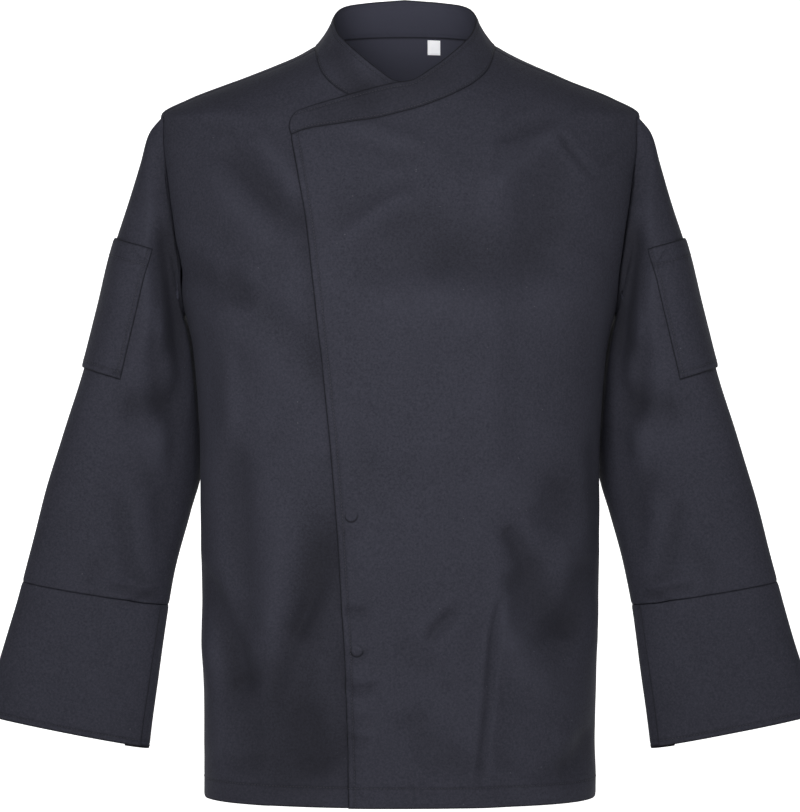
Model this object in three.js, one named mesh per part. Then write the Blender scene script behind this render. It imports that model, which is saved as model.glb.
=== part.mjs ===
// A chef jacket, size S, filled out as if worn: two crossing fronts, a back, set-in sleeves with
// wide cuffs and arm pockets, and a stand collar that runs on along the top of the crossing front.
// Millimetres, +Z up, the front faces -Y and the wearer's left is +X. The origin is the middle of
// the neck opening, level with the shoulders' neck ends.

import * as THREE from "three";

// Cloth and seams
const CLOTH = 1.5;
const SEAM_GAP = 0.3;
const LAYER_ROOM = 3.4; // between the two fronts, where the snaps sit
const OVER_LIFT = LAYER_ROOM + CLOTH; // how far the crossing front's outside stands off the body
const LIFT_FADE = 38; // run over which the crossing front settles back onto the body
const NECK_LEAN = 5; // the neck stands this far towards +X
const LEAN_START = -75; // below this height nothing leans
const SLEEVE_CLEARANCE = 3; // between a hanging sleeve and the body's side

// Heights and lengths of the body
const HEM_LEVEL = -745;
const ARMPIT_LEVEL = -265;
const SHOULDER_LEVEL = -66;
const SHOULDER_SEAM_FORWARD = 12; // the shoulder seam lies this far in front of the ridge

// Grid steps of the pieces
const SIDE_ROWS = 16;
const ARMHOLE_ROWS = 12;
const SHOULDER_COLUMNS = 8;
const FRONT_NECK_COLUMNS = 12;
const BACK_NECK_COLUMNS = 10;
const COLLAR_ROWS = 4;
const SLEEVE_ROWS = 22;
const SLEEVE_COLUMNS = 2 * ARMHOLE_ROWS;
const CUFF_ROWS = 4;
const POCKET_COLUMNS = 8;
const POCKET_ROWS = 8;

// Fastenings, pockets and label
const SNAP_RADIUS = 6;
const SNAP_THICKNESS = 1.8;
const SNAP_MIDDLE = 1.45; // of its thickness, above the under front
const SNAP_INSET = 14; // from the crossing front's edge
const SNAP_HEIGHTS = [-124, -222, -340, -462, -592];
const POCKET_WIDTH = 100;
const POCKET_FRONT_WIDTH = 66; // of that, this much lies in front of the sleeve's outer edge
const POCKET_LENGTH = 132;
const POCKET_TOP_DROP = 130; // from the shoulder's tip down the sleeve's axis
const POCKET_LIFT = 2.8;
const LABEL_WIDTH = 13;
const LABEL_LENGTH = 13.5;
const LABEL_THICKNESS = 1;
const LABEL_GAP = 0.9; // off the back's inside
const LABEL_X = 30;

// Cuffs: a band whose front end lies over its back end at the inner side of the sleeve. Places
// round the sleeve are counted in columns from its inner edge, over the front.
const CUFF_START = 0.94;
const CUFF_END = 1.27;
const CUFF_FIRST_COLUMN = 2;
const CUFF_LAST_COLUMN = 27;
const CUFF_LIFT = 3.2;
const CUFF_LIFT_FADE = 4; // columns
const CUFF_DROP = 0.018; // how much further the back end reaches
const CUFF_GAP = 0.0012;

const NAVY = 0x2e2f3b;
const SNAP_METAL = 0x50525a;
const LABEL_WHITE = 0xe4e4e2;

// Sections of the body from hem to neck seam. level: height at the side. width, front, back:
// reach from the middle line, whose y is middle. power: 2 is an ellipse, more is squarer.
// tilt: rise towards the back, per millimetre of y.
const BODY = [
  { level: -745, width: 196, front: 112, back: 106, middle: 0, power: 2.5, tilt: 0 },
  { level: -700, width: 195.5, front: 111, back: 103, middle: 0, power: 2.5, tilt: 0 },
  { level: -600, width: 197, front: 110, back: 98, middle: 0, power: 2.5, tilt: 0 },
  { level: -500, width: 199, front: 111, back: 97, middle: 0, power: 2.5, tilt: 0 },
  { level: -400, width: 200, front: 114, back: 101, middle: 0, power: 2.5, tilt: 0 },
  { level: -335, width: 203, front: 117, back: 106, middle: 0, power: 2.45, tilt: 0 },
  { level: -290, width: 208, front: 118, back: 109, middle: 0, power: 2.4, tilt: 0 },
  { level: -265, width: 214, front: 118, back: 110, middle: 0, power: 2.4, tilt: 0 },
  { level: -240, width: 220, front: 117, back: 111, middle: 1, power: 2.35, tilt: 0 },
  { level: -205, width: 226, front: 114, back: 112, middle: 2, power: 2.3, tilt: 0.005 },
  { level: -165, width: 232, front: 108, back: 111, middle: 3, power: 2.25, tilt: 0.015 },
  { level: -125, width: 237, front: 99, back: 108, middle: 5, power: 2.15, tilt: 0.03 },
  { level: -90, width: 240, front: 89, back: 103, middle: 7, power: 2.05, tilt: 0.055 },
  { level: -66, width: 239, front: 82, back: 98, middle: 8, power: 1.95, tilt: 0.08 },
  { level: -50, width: 212, front: 77, back: 94, middle: 9, power: 1.95, tilt: 0.1 },
  { level: -30, width: 160, front: 70, back: 88, middle: 10, power: 2.0, tilt: 0.135 },
  { level: -10, width: 110, front: 62, back: 81, middle: 10, power: 2.1, tilt: 0.175 },
  { level: 0, width: 91, front: 58, back: 78, middle: 10, power: 2.2, tilt: 0.19 },
];

// The armhole's edge, by level. front and back: y of its front and back edge.
const ARMHOLE = [
  { level: -66, front: -4, back: -4 },
  { level: -84, front: -9, back: 18 },
  { level: -110, front: -15, back: 34 },
  { level: -145, front: -23, back: 46 },
  { level: -185, front: -30, back: 52 },
  { level: -220, front: -32, back: 47 },
  { level: -246, front: -26, back: 33 },
  { level: -260, front: -13, back: 16 },
  { level: -265, front: 0, back: 0 },
];

// The crossing front's free edge and the under front's, seen from the front.
const OVER_EDGE = [
  { z: -745, x: -50 },
  { z: -600, x: -54 },
  { z: -500, x: -60 },
  { z: -400, x: -67 },
  { z: -300, x: -77 },
  { z: -200, x: -88 },
  { z: -130, x: -98 },
  { z: -89, x: -106 },
];
const UNDER_EDGE = [
  { z: -745, x: 76 },
  { z: -400, x: 84 },
  { z: -60, x: 92 },
];

// The neck seam in front, from the shoulder (along 0.37) to its end past the middle (along 1), for
// the half whose front crosses to -X. Behind the shoulder it keeps to the body's last section.
const NECK_SEAM = [
  { along: 0.37, x: 90, z: -0.5 },
  { along: 0.43, x: 84, z: -20 },
  { along: 0.49, x: 72, z: -35 },
  { along: 0.55, x: 54, z: -47 },
  { along: 0.61, x: 34, z: -56 },
  { along: 0.66, x: 15, z: -63 },
  { along: 0.72, x: -7, z: -69 },
  { along: 0.79, x: -34, z: -75 },
  { along: 0.87, x: -64, z: -79 },
  { along: 0.94, x: -91, z: -83.5 },
  { along: 1.0, x: -106, z: -89 },
];
const SHOULDER_ALONG = 0.37;
const UNDER_END_ALONG = 0.94; // the under front's neck seam stops here

// The collar's top edge over the same run, from the middle of the back (along 0). Where y is
// null the edge lies on the body's own surface.
const COLLAR_TOP = [
  { along: 0.0, x: 0, y: 80, z: 54 },
  { along: 0.12, x: 35, y: 75, z: 51 },
  { along: 0.22, x: 58, y: 58, z: 47 },
  { along: 0.3, x: 68, y: 36, z: 41 },
  { along: 0.37, x: 72, y: 8, z: 31 },
  { along: 0.43, x: 68, y: -16, z: 17 },
  { along: 0.49, x: 57, y: -35, z: 4 },
  { along: 0.55, x: 41, y: -47, z: -10 },
  { along: 0.61, x: 24, y: null, z: -23 },
  { along: 0.66, x: 8, y: null, z: -33 },
  { along: 0.72, x: -10, y: null, z: -36 },
  { along: 0.79, x: -34, y: null, z: -42 },
  { along: 0.87, x: -62, y: null, z: -50.5 },
  { along: 0.94, x: -88, y: null, z: -58.5 },
  { along: 1.0, x: -102, y: null, z: -64 },
];
const COLLAR_HOLLOW = 2.5; // how far the collar's side curves in between seam and top edge
const COLLAR_END_ROUND = 4; // how far the collar's free end swells past a straight line

// Sections of a sleeve from armhole to wrist. outer and inner: the points furthest from and
// nearest to the body. front and back: reach from the line between them.
const SLEEVE = [
  { along: 0.0, outer_x: 239, outer_z: -66, inner_x: 214, inner_z: -265, inner_y: 0, front: 42, back: 52 },
  { along: 0.03, outer_x: 253, outer_z: -84, inner_x: 216, inner_z: -268, inner_y: 3, front: 46, back: 56 },
  { along: 0.08, outer_x: 260, outer_z: -110, inner_x: 213, inner_z: -274, inner_y: 12, front: 52, back: 60 },
  { along: 0.16, outer_x: 271, outer_z: -150, inner_x: 208, inner_z: -287, inner_y: 24, front: 57, back: 62 },
  { along: 0.26, outer_x: 286, outer_z: -200, inner_x: 203, inner_z: -308, inner_y: 34, front: 60, back: 61 },
  { along: 0.38, outer_x: 300, outer_z: -258, inner_x: 199, inner_z: -338, inner_y: 40, front: 59, back: 58 },
  { along: 0.51, outer_x: 317, outer_z: -324, inner_x: 198, inner_z: -378, inner_y: 42, front: 55, back: 54 },
  { along: 0.63, outer_x: 336, outer_z: -384, inner_x: 200, inner_z: -422, inner_y: 38, front: 50, back: 49 },
  { along: 0.75, outer_x: 354, outer_z: -443, inner_x: 211, inner_z: -465, inner_y: 26, front: 44, back: 44 },
  { along: 0.87, outer_x: 369, outer_z: -500, inner_x: 224, inner_z: -513, inner_y: 14, front: 39, back: 39 },
  { along: 0.94, outer_x: 377, outer_z: -530, inner_x: 232, inner_z: -555, inner_y: 6, front: 36, back: 36 },
  { along: 1.0, outer_x: 384, outer_z: -556, inner_x: 236, inner_z: -582, inner_y: 4, front: 35, back: 35 },
  { along: 1.27, outer_x: 417, outer_z: -663, inner_x: 251, inner_z: -697, inner_y: -4, front: 27, back: 27 },
];
const SLEEVE_POWER = 2.15;
const ARMHOLE_BLEND = 0.34; // the sleeve takes up the armhole's own outline over this stretch
const SLEEVE_OUTER_Y = -4;
const SLEEVE_FORWARD = 8; // how much further forward the outer edge is at along 1

// The largest folds, seen from the front or, on the back, from the same side. depth: into the
// cloth, or out of it where it is negative. width: from the middle of the fold to where it fades.
const BODY_FOLDS = [
  { side: "front", x0: -163, z0: -122, x1: -97, z1: -177, width: 20, depth: 4.5 },
  { side: "front", x0: -190, z0: -171, x1: -118, z1: -212, width: 22, depth: -3.5 },
  { side: "front", x0: -184, z0: -213, x1: -145, z1: -236, width: 18, depth: 6 },
  { side: "front", x0: -145, z0: -236, x1: -94, z1: -303, width: 22, depth: 4.5 },
  { side: "front", x0: -167, z0: -379, x1: -163, z1: -620, width: 24, depth: 4 },
  { side: "front", x0: -84, z0: -478, x1: -132, z1: -600, width: 22, depth: 5 },
  { side: "front", x0: -116, z0: -350, x1: -104, z1: -505, width: 28, depth: -3.5 },
  { side: "front", x0: -40, z0: -183, x1: 39, z1: -132, width: 22, depth: -3 },
  { side: "front", x0: -24, z0: -218, x1: 78, z1: -171, width: 22, depth: 3 },
  { side: "front", x0: 170, z0: -92, x1: 84, z1: -205, width: 22, depth: 3.5 },
  { side: "front", x0: 112, z0: -470, x1: 150, z1: -575, width: 30, depth: 7 },
  { side: "front", x0: 190, z0: -534, x1: 152, z1: -595, width: 20, depth: 6 },
  { side: "front", x0: 118, z0: -600, x1: 104, z1: -712, width: 26, depth: -4 },
  { side: "front", x0: 88, z0: -540, x1: 78, z1: -730, width: 16, depth: 3.5 },
  { side: "back", x0: -150, z0: -105, x1: -40, z1: -185, width: 26, depth: 4 },
  { side: "back", x0: 158, z0: -110, x1: 60, z1: -170, width: 24, depth: 4 },
  { side: "back", x0: -196, z0: -222, x1: -95, z1: -300, width: 24, depth: 6 },
  { side: "back", x0: 198, z0: -214, x1: 110, z1: -282, width: 26, depth: 5.5 },
  { side: "back", x0: -128, z0: -380, x1: -112, z1: -640, width: 30, depth: 6 },
  { side: "back", x0: -40, z0: -430, x1: -48, z1: -700, width: 28, depth: -4 },
  { side: "back", x0: 42, z0: -410, x1: 34, z1: -610, width: 26, depth: 5 },
  { side: "back", x0: 138, z0: -420, x1: 122, z1: -690, width: 30, depth: 5.5 },
];
const SLEEVE_FOLDS = [
  { side: "front", x0: 233, z0: -330, x1: 246, z1: -505, width: 20, depth: 6 },
  { side: "front", x0: 300, z0: -335, x1: 262, z1: -390, width: 22, depth: 3 },
  { side: "back", x0: 236, z0: -190, x1: 280, z1: -300, width: 20, depth: 5 },
  { side: "back", x0: 262, z0: -360, x1: 322, z1: -400, width: 20, depth: 4.5 },
  { side: "back", x0: 258, z0: -420, x1: 332, z1: -446, width: 18, depth: 4 },
];
const BODY_FOLD_FADE = 42; // folds run out over this depth towards the side seams
const SLEEVE_FOLD_FADE = 22;

/** Smooth step from 0 to 1. */
function smooth(t) {
  const c = Math.min(1, Math.max(0, t));
  return c * c * (3 - 2 * c);
}

/** The number at share t from a to b. */
function mix(a, b, t) {
  return a + (b - a) * t;
}

/** Evenly spaced numbers from a to b, both included. */
function spread(a, b, steps) {
  return Array.from({ length: steps + 1 }, (_, i) => mix(a, b, i / steps));
}

/** The monotone cubic curve through one column of a table, against another. */
function curve(rows, from, to) {
  const sorted = [...rows].sort((p, q) => p[from] - q[from]);
  const x = sorted.map((row) => row[from]);
  const y = sorted.map((row) => row[to]);
  const slope = x.slice(1).map((_, i) => (y[i + 1] - y[i]) / (x[i + 1] - x[i]));
  const tangent = x.map((_, i) => {
    if (i === 0) return slope[0];
    if (i === x.length - 1) return slope[i - 1];
    const before = slope[i - 1];
    const after = slope[i];
    return before * after <= 0 ? 0 : (2 * before * after) / (before + after);
  });
  return (value) => {
    const v = Math.min(x.at(-1), Math.max(x[0], value));
    let i = 0;
    while (i < x.length - 2 && v > x[i + 1]) i += 1;
    const h = x[i + 1] - x[i];
    const t = (v - x[i]) / h;
    const start = (1 + 2 * t) * (1 - t) ** 2 * y[i] + t * (1 - t) ** 2 * h * tangent[i];
    return start + t * t * (3 - 2 * t) * y[i + 1] + t * t * (t - 1) * h * tangent[i + 1];
  };
}

/** One curve for each named column. */
function curves(rows, from, names) {
  const made = Object.fromEntries(names.map((name) => [name, curve(rows, from, name)]));
  return (value) => Object.fromEntries(names.map((name) => [name, made[name](value)]));
}

const bodyAt = curves(BODY, "level", ["width", "front", "back", "middle", "power", "tilt"]);
const armholeFront = curve(ARMHOLE, "level", "front");
const armholeBack = curve(ARMHOLE, "level", "back");
const overEdge = curve(OVER_EDGE, "z", "x");
const underEdge = curve(UNDER_EDGE, "z", "x");
const seamAt = curves(NECK_SEAM, "along", ["x", "z"]);
const sleeveNames = ["outer_x", "outer_z", "inner_x", "inner_z", "inner_y", "front", "back"];
const sleeveAt = curves(SLEEVE, "along", sleeveNames);

/** The body's section at a level as a point at an angle: 0 in front, 90 at +X, 180 behind. */
function bodyPoint(level, angle) {
  const s = bodyAt(level);
  const radians = THREE.MathUtils.degToRad(angle);
  const across = Math.sin(radians);
  const ahead = Math.cos(radians);
  const reach = ahead >= 0 ? s.front : s.back;
  const sum = Math.abs(across / s.width) ** s.power + Math.abs(ahead / reach) ** s.power;
  const radius = sum ** (-1 / s.power);
  const y = s.middle - radius * ahead;
  return new THREE.Vector3(radius * across, y, level + s.tilt * y);
}

/** The body's outward direction at a level and angle. */
function bodyNormal(level, angle) {
  const step = 0.5;
  const low = Math.min(level, -step);
  const up = bodyPoint(low + step, angle).sub(bodyPoint(low - step, angle));
  const round = bodyPoint(level, angle + step).sub(bodyPoint(level, angle - step));
  return round.cross(up).normalize();
}

/** Distance along a level's section from the middle of the front, for each of its angles. */
const arcTables = new Map();
function arcTable(level) {
  const key = level.toFixed(4);
  if (!arcTables.has(key)) {
    const table = [{ angle: 0, arc: 0 }];
    let last = bodyPoint(level, 0);
    for (let angle = 3; angle <= 180; angle += 3) {
      const next = bodyPoint(level, angle);
      table.push({ angle, arc: table.at(-1).arc + last.distanceTo(next) });
      last = next;
    }
    arcTables.set(key, table);
  }
  return arcTables.get(key);
}

/** Looks one column of a table up by another that grows. */
function lookUp(table, from, to, value) {
  let i = 1;
  while (i < table.length - 1 && table[i][from] < value) i += 1;
  const t = (value - table[i - 1][from]) / (table[i][from] - table[i - 1][from]);
  return mix(table[i - 1][to], table[i][to], t);
}

/** A place as its pattern piece sees it: level, and arc from the piece's middle line. */
function patternPlace(place, fromBack) {
  const table = arcTable(place.level);
  const arc = lookUp(table, "angle", "arc", Math.abs(place.angle));
  const measured = fromBack ? table.at(-1).arc - arc : arc;
  return { arc: place.angle < 0 ? -measured : measured, level: place.level };
}

/** The angle of a pattern place. */
function patternAngle(place, fromBack) {
  const table = arcTable(place.level);
  const arc = fromBack ? table.at(-1).arc - Math.abs(place.arc) : Math.abs(place.arc);
  return (place.arc < 0 ? -1 : 1) * lookUp(table, "arc", "angle", arc);
}

/** The angle at which the front of a level's section has a given x. */
function angleOfX(level, x) {
  const s = bodyAt(level);
  const share = Math.min(1, Math.abs(x) / s.width);
  const ahead = s.front * (1 - share ** s.power) ** (1 / s.power);
  return THREE.MathUtils.radToDeg(Math.atan2(x, ahead));
}

/** Half the width of a level's section at a given y. */
function halfWidth(level, y) {
  const s = bodyAt(level);
  const away = y - s.middle;
  const share = Math.min(1, Math.abs(away) / (away < 0 ? s.front : s.back));
  return s.width * (1 - share ** s.power) ** (1 / s.power);
}

/** The angle at which the +X side of a level's section has a given y. */
function angleOfY(level, y) {
  return THREE.MathUtils.radToDeg(Math.atan2(halfWidth(level, y), bodyAt(level).middle - y));
}

/** Level and angle of the body's front at x and z. */
function frontPlace(x, z) {
  let level = z;
  for (let turn = 0; turn < 8; turn += 1) {
    const y = bodyPoint(level, angleOfX(level, x)).y;
    level = Math.min(0, z - bodyAt(level).tilt * y);
  }
  return { level, angle: angleOfX(level, x) };
}

/** How far the folds of a list move the cloth in (negative is out) at a point. */
function foldDepth(folds, point, middle, sideFade) {
  let depth = 0;
  for (const f of folds) {
    const away = f.side === "front" ? middle - point.y : point.y - middle;
    const run = new THREE.Vector2(f.x1 - f.x0, f.z1 - f.z0);
    const from = new THREE.Vector2(point.x - f.x0, point.z - f.z0);
    const t = Math.min(1, Math.max(0, from.dot(run) / run.lengthSq()));
    const off = from.sub(run.multiplyScalar(t)).length() / f.width;
    depth += f.depth * Math.exp(-off * off) * smooth(away / sideFade);
  }
  return depth;
}

/** The outside of the body's cloth at a place, standing off the body by what lift says. */
function bodyCloth(place, lift) {
  const point = bodyPoint(place.level, place.angle);
  const depth = foldDepth(BODY_FOLDS, point, bodyAt(place.level).middle, BODY_FOLD_FADE);
  return point.addScaledVector(bodyNormal(place.level, place.angle), lift(point) - depth);
}

const topHeight = curve(COLLAR_TOP.filter((row) => row.y === null), "x", "z");

/** The crossing front's stand-off: full over the under front, none beyond its edges. */
function overLift(point) {
  const past = point.x - underEdge(point.z);
  const above = point.x > 0 ? point.z - topHeight(-point.x) : past;
  return OVER_LIFT * (1 - smooth(Math.max(past, above) / LIFT_FADE));
}
const noLift = () => 0;

/** Levels of a panel's rows from hem to shoulder, the armpit among them. */
const ROW_LEVELS = [
  ...spread(HEM_LEVEL, ARMPIT_LEVEL, SIDE_ROWS),
  ...spread(ARMPIT_LEVEL, SHOULDER_LEVEL, ARMHOLE_ROWS).slice(1),
];

/** A panel's edge at the +X side: the side seam, then the armhole's given edge. */
function sidePlaces(armholeEdge) {
  return ROW_LEVELS.map((level) => {
    const y = level <= ARMPIT_LEVEL ? 0 : armholeEdge(level);
    return { level, angle: angleOfY(level, y) };
  });
}

/** The +X shoulder seam, from the neck to the shoulder's tip. */
function shoulderPlaces() {
  return spread(0, SHOULDER_LEVEL, SHOULDER_COLUMNS).map((level) => {
    return { level, angle: angleOfY(level, bodyAt(level).middle - SHOULDER_SEAM_FORWARD) };
  });
}

/** The neck seam in front, from the shoulder to its end. */
function frontNeckPlaces(endAlong) {
  const alongs = spread(SHOULDER_ALONG, endAlong, FRONT_NECK_COLUMNS).slice(1);
  return [shoulderPlaces()[0], ...alongs.map((along) => frontPlace(seamAt(along).x, seamAt(along).z))];
}

/** The neck seam behind, from the +X shoulder to the other. */
function backNeckPlaces() {
  const start = shoulderPlaces()[0].angle;
  return spread(start, 360 - start, BACK_NECK_COLUMNS).map((angle) => {
    return { level: 0, angle: angle > 180 ? angle - 360 : angle };
  });
}

/** The same places on the other side of the body. */
function mirrored(places) {
  return places.map((place) => ({ level: place.level, angle: -place.angle }));
}

/** Fills a grid between four edges that share their corners (a Coons patch in pattern space). */
function fill(edges, fromBack) {
  const [left, right, bottom, top] = edges.map((edge) => edge.map((p) => patternPlace(p, fromBack)));
  const rows = left.length - 1;
  const columns = bottom.length - 1;
  return left.map((_, r) => {
    const v = r / rows;
    return bottom.map((__, c) => {
      const u = c / columns;
      const blend = (name) => {
        const across = mix(left[r][name], right[r][name], u);
        const upward = mix(bottom[c][name], top[c][name], v);
        const low = mix(bottom[0][name], bottom[columns][name], u);
        const high = mix(top[0][name], top[columns][name], u);
        return across + upward - mix(low, high, v);
      };
      const place = { arc: blend("arc"), level: Math.min(0, blend("level")) };
      return { level: place.level, angle: patternAngle(place, fromBack) };
    });
  });
}

/** Evenly spaced places along the hem between two corners of a piece. */
function hemPlaces(first, last, columns, fromBack) {
  const ends = [first, last].map((place) => patternPlace(place, fromBack).arc);
  return spread(ends[0], ends[1], columns).map((arc) => {
    return { level: HEM_LEVEL, angle: patternAngle({ arc, level: HEM_LEVEL }, fromBack) };
  });
}

/** A front of the +X side, from its free edge to the side seam, as places. */
function frontPanel(edgeX, endAlong) {
  const neck = frontNeckPlaces(endAlong).reverse();
  const edge = ROW_LEVELS.map((level, i) => {
    const share = Math.max(0, i - SIDE_ROWS) / ARMHOLE_ROWS;
    const height = i <= SIDE_ROWS ? level : mix(ARMPIT_LEVEL, neck[0].level, share);
    return { level: height, angle: angleOfX(height, edgeX(height)) };
  });
  edge[edge.length - 1] = neck[0];
  const side = sidePlaces(armholeFront);
  const top = [...neck, ...shoulderPlaces().slice(1)];
  const hem = hemPlaces(edge[0], side[0], top.length - 1, false);
  return fill([edge, side, hem, top], false);
}

/** The back, from the +X side seam to the other, as places. */
function backPanel() {
  const side = sidePlaces(armholeBack);
  const shoulder = shoulderPlaces();
  const top = [...shoulder.toReversed(), ...backNeckPlaces().slice(1, -1), ...mirrored(shoulder)];
  const hem = hemPlaces(side[0], mirrored(side)[0], top.length - 1, true);
  return fill([side, mirrored(side), hem, top], true);
}

/** The collar at the +X half: from its neck seam (share 0) to its top edge (share 1). */
function collarPoint(along, share, lift) {
  const back = along < SHOULDER_ALONG;
  const start = shoulderPlaces()[0].angle;
  const behind = { level: 0, angle: mix(180, start, along / SHOULDER_ALONG) };
  const place = back ? behind : frontPlace(seamAt(along).x, seamAt(along).z);
  const seamPlace = along === SHOULDER_ALONG ? shoulderPlaces()[0] : place;
  const seam = bodyCloth(seamPlace, lift);
  const top = collarTop(along);
  const normal = bodyNormal(seamPlace.level, seamPlace.angle).setZ(0).normalize();
  top.addScaledVector(normal, lift(top));
  const standing = 1 - smooth((along - 0.42) / 0.2);
  const ending = smooth((along - 0.93) / 0.07);
  const point = seam.clone().lerp(top, share);
  const bow = 4 * share * (1 - share);
  point.addScaledVector(normal, -COLLAR_HOLLOW * standing * bow);
  point.x -= COLLAR_END_ROUND * ending * bow;
  return point;
}

/** A point of the collar's top edge. */
const topAt = curves(COLLAR_TOP, "along", ["x", "z"]);
const topDepth = curve(
  COLLAR_TOP.map((row) => {
    const place = frontPlace(row.x, row.z);
    return { along: row.along, y: row.y ?? bodyPoint(place.level, place.angle).y };
  }),
  "along",
  "y",
);
function collarTop(along) {
  return new THREE.Vector3(topAt(along).x, topDepth(along), topAt(along).z);
}

/** The sleeve's own section at an angle: 0 at the outer edge, 90 in front, 180 at the inner edge. */
function sleeveSection(along, angle) {
  const s = sleeveAt(along);
  const radians = THREE.MathUtils.degToRad(angle);
  const bent = (value) => Math.sign(value) * Math.abs(value) ** (2 / SLEEVE_POWER);
  const inner = new THREE.Vector3(s.inner_x, s.inner_y, s.inner_z);
  const outer = new THREE.Vector3(s.outer_x, SLEEVE_OUTER_Y - SLEEVE_FORWARD * along, s.outer_z);
  const point = inner.clone().lerp(outer, (1 + bent(Math.cos(radians))) / 2);
  const ahead = bent(Math.sin(radians));
  point.y -= ahead * (ahead > 0 ? s.front : s.back);
  return point;
}

/** The middle of the sleeve's section. */
function sleeveMiddle(along) {
  return sleeveSection(along, 0).add(sleeveSection(along, 180)).multiplyScalar(0.5);
}

/** A sleeve as a function of along and of the column, counted from the inner edge over the front.
 *  Both sleeves are described at +X; side says which body half the armhole is taken from. */
function sleeveSurface(side) {
  const edge = (armholeEdge) =>
    sidePlaces(armholeEdge)
      .slice(SIDE_ROWS)
      .map((place) => {
        const point = bodyCloth({ level: place.level, angle: side * place.angle }, noLift);
        return point.setX(side * point.x);
      });
  const loop = [...edge(armholeFront), ...edge(armholeBack).reverse().slice(1)];
  const inner = sleeveSection(0, 180);
  const line = sleeveSection(0, 0).sub(inner);
  const starts = loop.map((point, column) => {
    const share = Math.min(1, Math.max(0, point.clone().sub(inner).dot(line) / line.lengthSq()));
    const cosine = Math.sign(2 * share - 1) * Math.abs(2 * share - 1) ** (SLEEVE_POWER / 2);
    const turn = THREE.MathUtils.radToDeg(Math.acos(cosine));
    const angle = column === 0 ? 180 : column <= ARMHOLE_ROWS ? turn : -turn;
    const last = column === SLEEVE_COLUMNS ? -180 : angle;
    return { column, angle: last, offset: point.sub(sleeveSection(0, last)) };
  });
  return (along, place) => {
    const column = ((place % SLEEVE_COLUMNS) + SLEEVE_COLUMNS) % SLEEVE_COLUMNS;
    const first = starts[Math.floor(column)];
    const second = starts[Math.floor(column) + 1];
    const t = column - first.column;
    const blend = smooth(along / ARMHOLE_BLEND);
    const even = 180 - (360 * column) / SLEEVE_COLUMNS;
    const point = sleeveSection(along, mix(mix(first.angle, second.angle, t), even, blend));
    point.addScaledVector(first.offset.clone().lerp(second.offset, t), 1 - blend);
    const radial = point.clone().sub(sleeveMiddle(along)).normalize();
    point.addScaledVector(radial, -foldDepth(SLEEVE_FOLDS, point, 0, SLEEVE_FOLD_FADE));
    const clear = halfWidth(point.z, point.y) + SLEEVE_CLEARANCE * smooth(along / 0.035);
    point.x = along > 0 ? Math.max(point.x, clear) : point.x;
    return point;
  };
}

/** A sleeve pocket's grid of points: a rectangle laid round the sleeve square to its axis. */
function pocketPoints(surface) {
  const tip = sleeveSection(0, 0);
  const axis = sleeveSection(1, 0).sub(tip).setY(0).normalize();
  const onSleeve = (distance, column) => {
    let low = 0.02;
    let high = 0.9;
    for (let step = 0; step < 24; step += 1) {
      const middle = (low + high) / 2;
      const reached = surface(middle, column).sub(tip).dot(axis);
      if (reached < distance) low = middle;
      else high = middle;
    }
    return surface(low, column);
  };
  const bottom = POCKET_TOP_DROP + POCKET_LENGTH;
  return spread(bottom, POCKET_TOP_DROP, POCKET_ROWS).map((distance) => {
    const round = spread(4, 20, 64).map((column) => ({ column, point: onSleeve(distance, column) }));
    const table = [{ column: round[0].column, arc: 0 }];
    for (let i = 1; i < round.length; i += 1) {
      const arc = table.at(-1).arc + round[i].point.distanceTo(round[i - 1].point);
      table.push({ column: round[i].column, arc });
    }
    const edge = lookUp(table, "column", "arc", SLEEVE_COLUMNS / 2);
    const start = edge - POCKET_FRONT_WIDTH;
    return spread(start, start + POCKET_WIDTH, POCKET_COLUMNS).map((arc) =>
      onSleeve(distance, lookUp(table, "arc", "column", arc)),
    );
  });
}

/** The lean of the neck towards +X. */
function lean(point) {
  point.x += NECK_LEAN * smooth((point.z - LEAN_START) / -LEAN_START);
  return point;
}

/** Makes a piece of cloth: rows run upwards and columns to the right, seen from outside. */
function makeSheet(name, points, options = {}) {
  const { wrap = false, wall = CLOTH, pushOut = 0 } = options;
  const grid = points.map((row) => row.map((point) => ({ point: lean(point.clone()) })));
  const last = grid.length - 1;
  const width = grid[0].length;
  const at = (r, c) => grid[r][wrap ? (c + width) % width : Math.min(width - 1, Math.max(0, c))].point;
  grid.forEach((row, r) =>
    row.forEach((vertex, c) => {
      const round = at(r, c + 1).clone().sub(at(r, c - 1));
      const up = at(Math.min(last, r + 1), c).clone().sub(at(Math.max(0, r - 1), c));
      vertex.normal = round.cross(up).normalize();
      const insideRow = Math.min(last - 1, Math.max(1, r));
      const insideColumn = wrap ? c : Math.min(width - 2, Math.max(1, c));
      vertex.edge = r !== insideRow || c !== insideColumn;
      vertex.into = at(insideRow, insideColumn).clone().sub(vertex.point).normalize();
    }),
  );
  for (const vertex of grid.flat()) vertex.point.addScaledVector(vertex.normal, pushOut);
  return { name, grid, wrap, wall };
}

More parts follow.
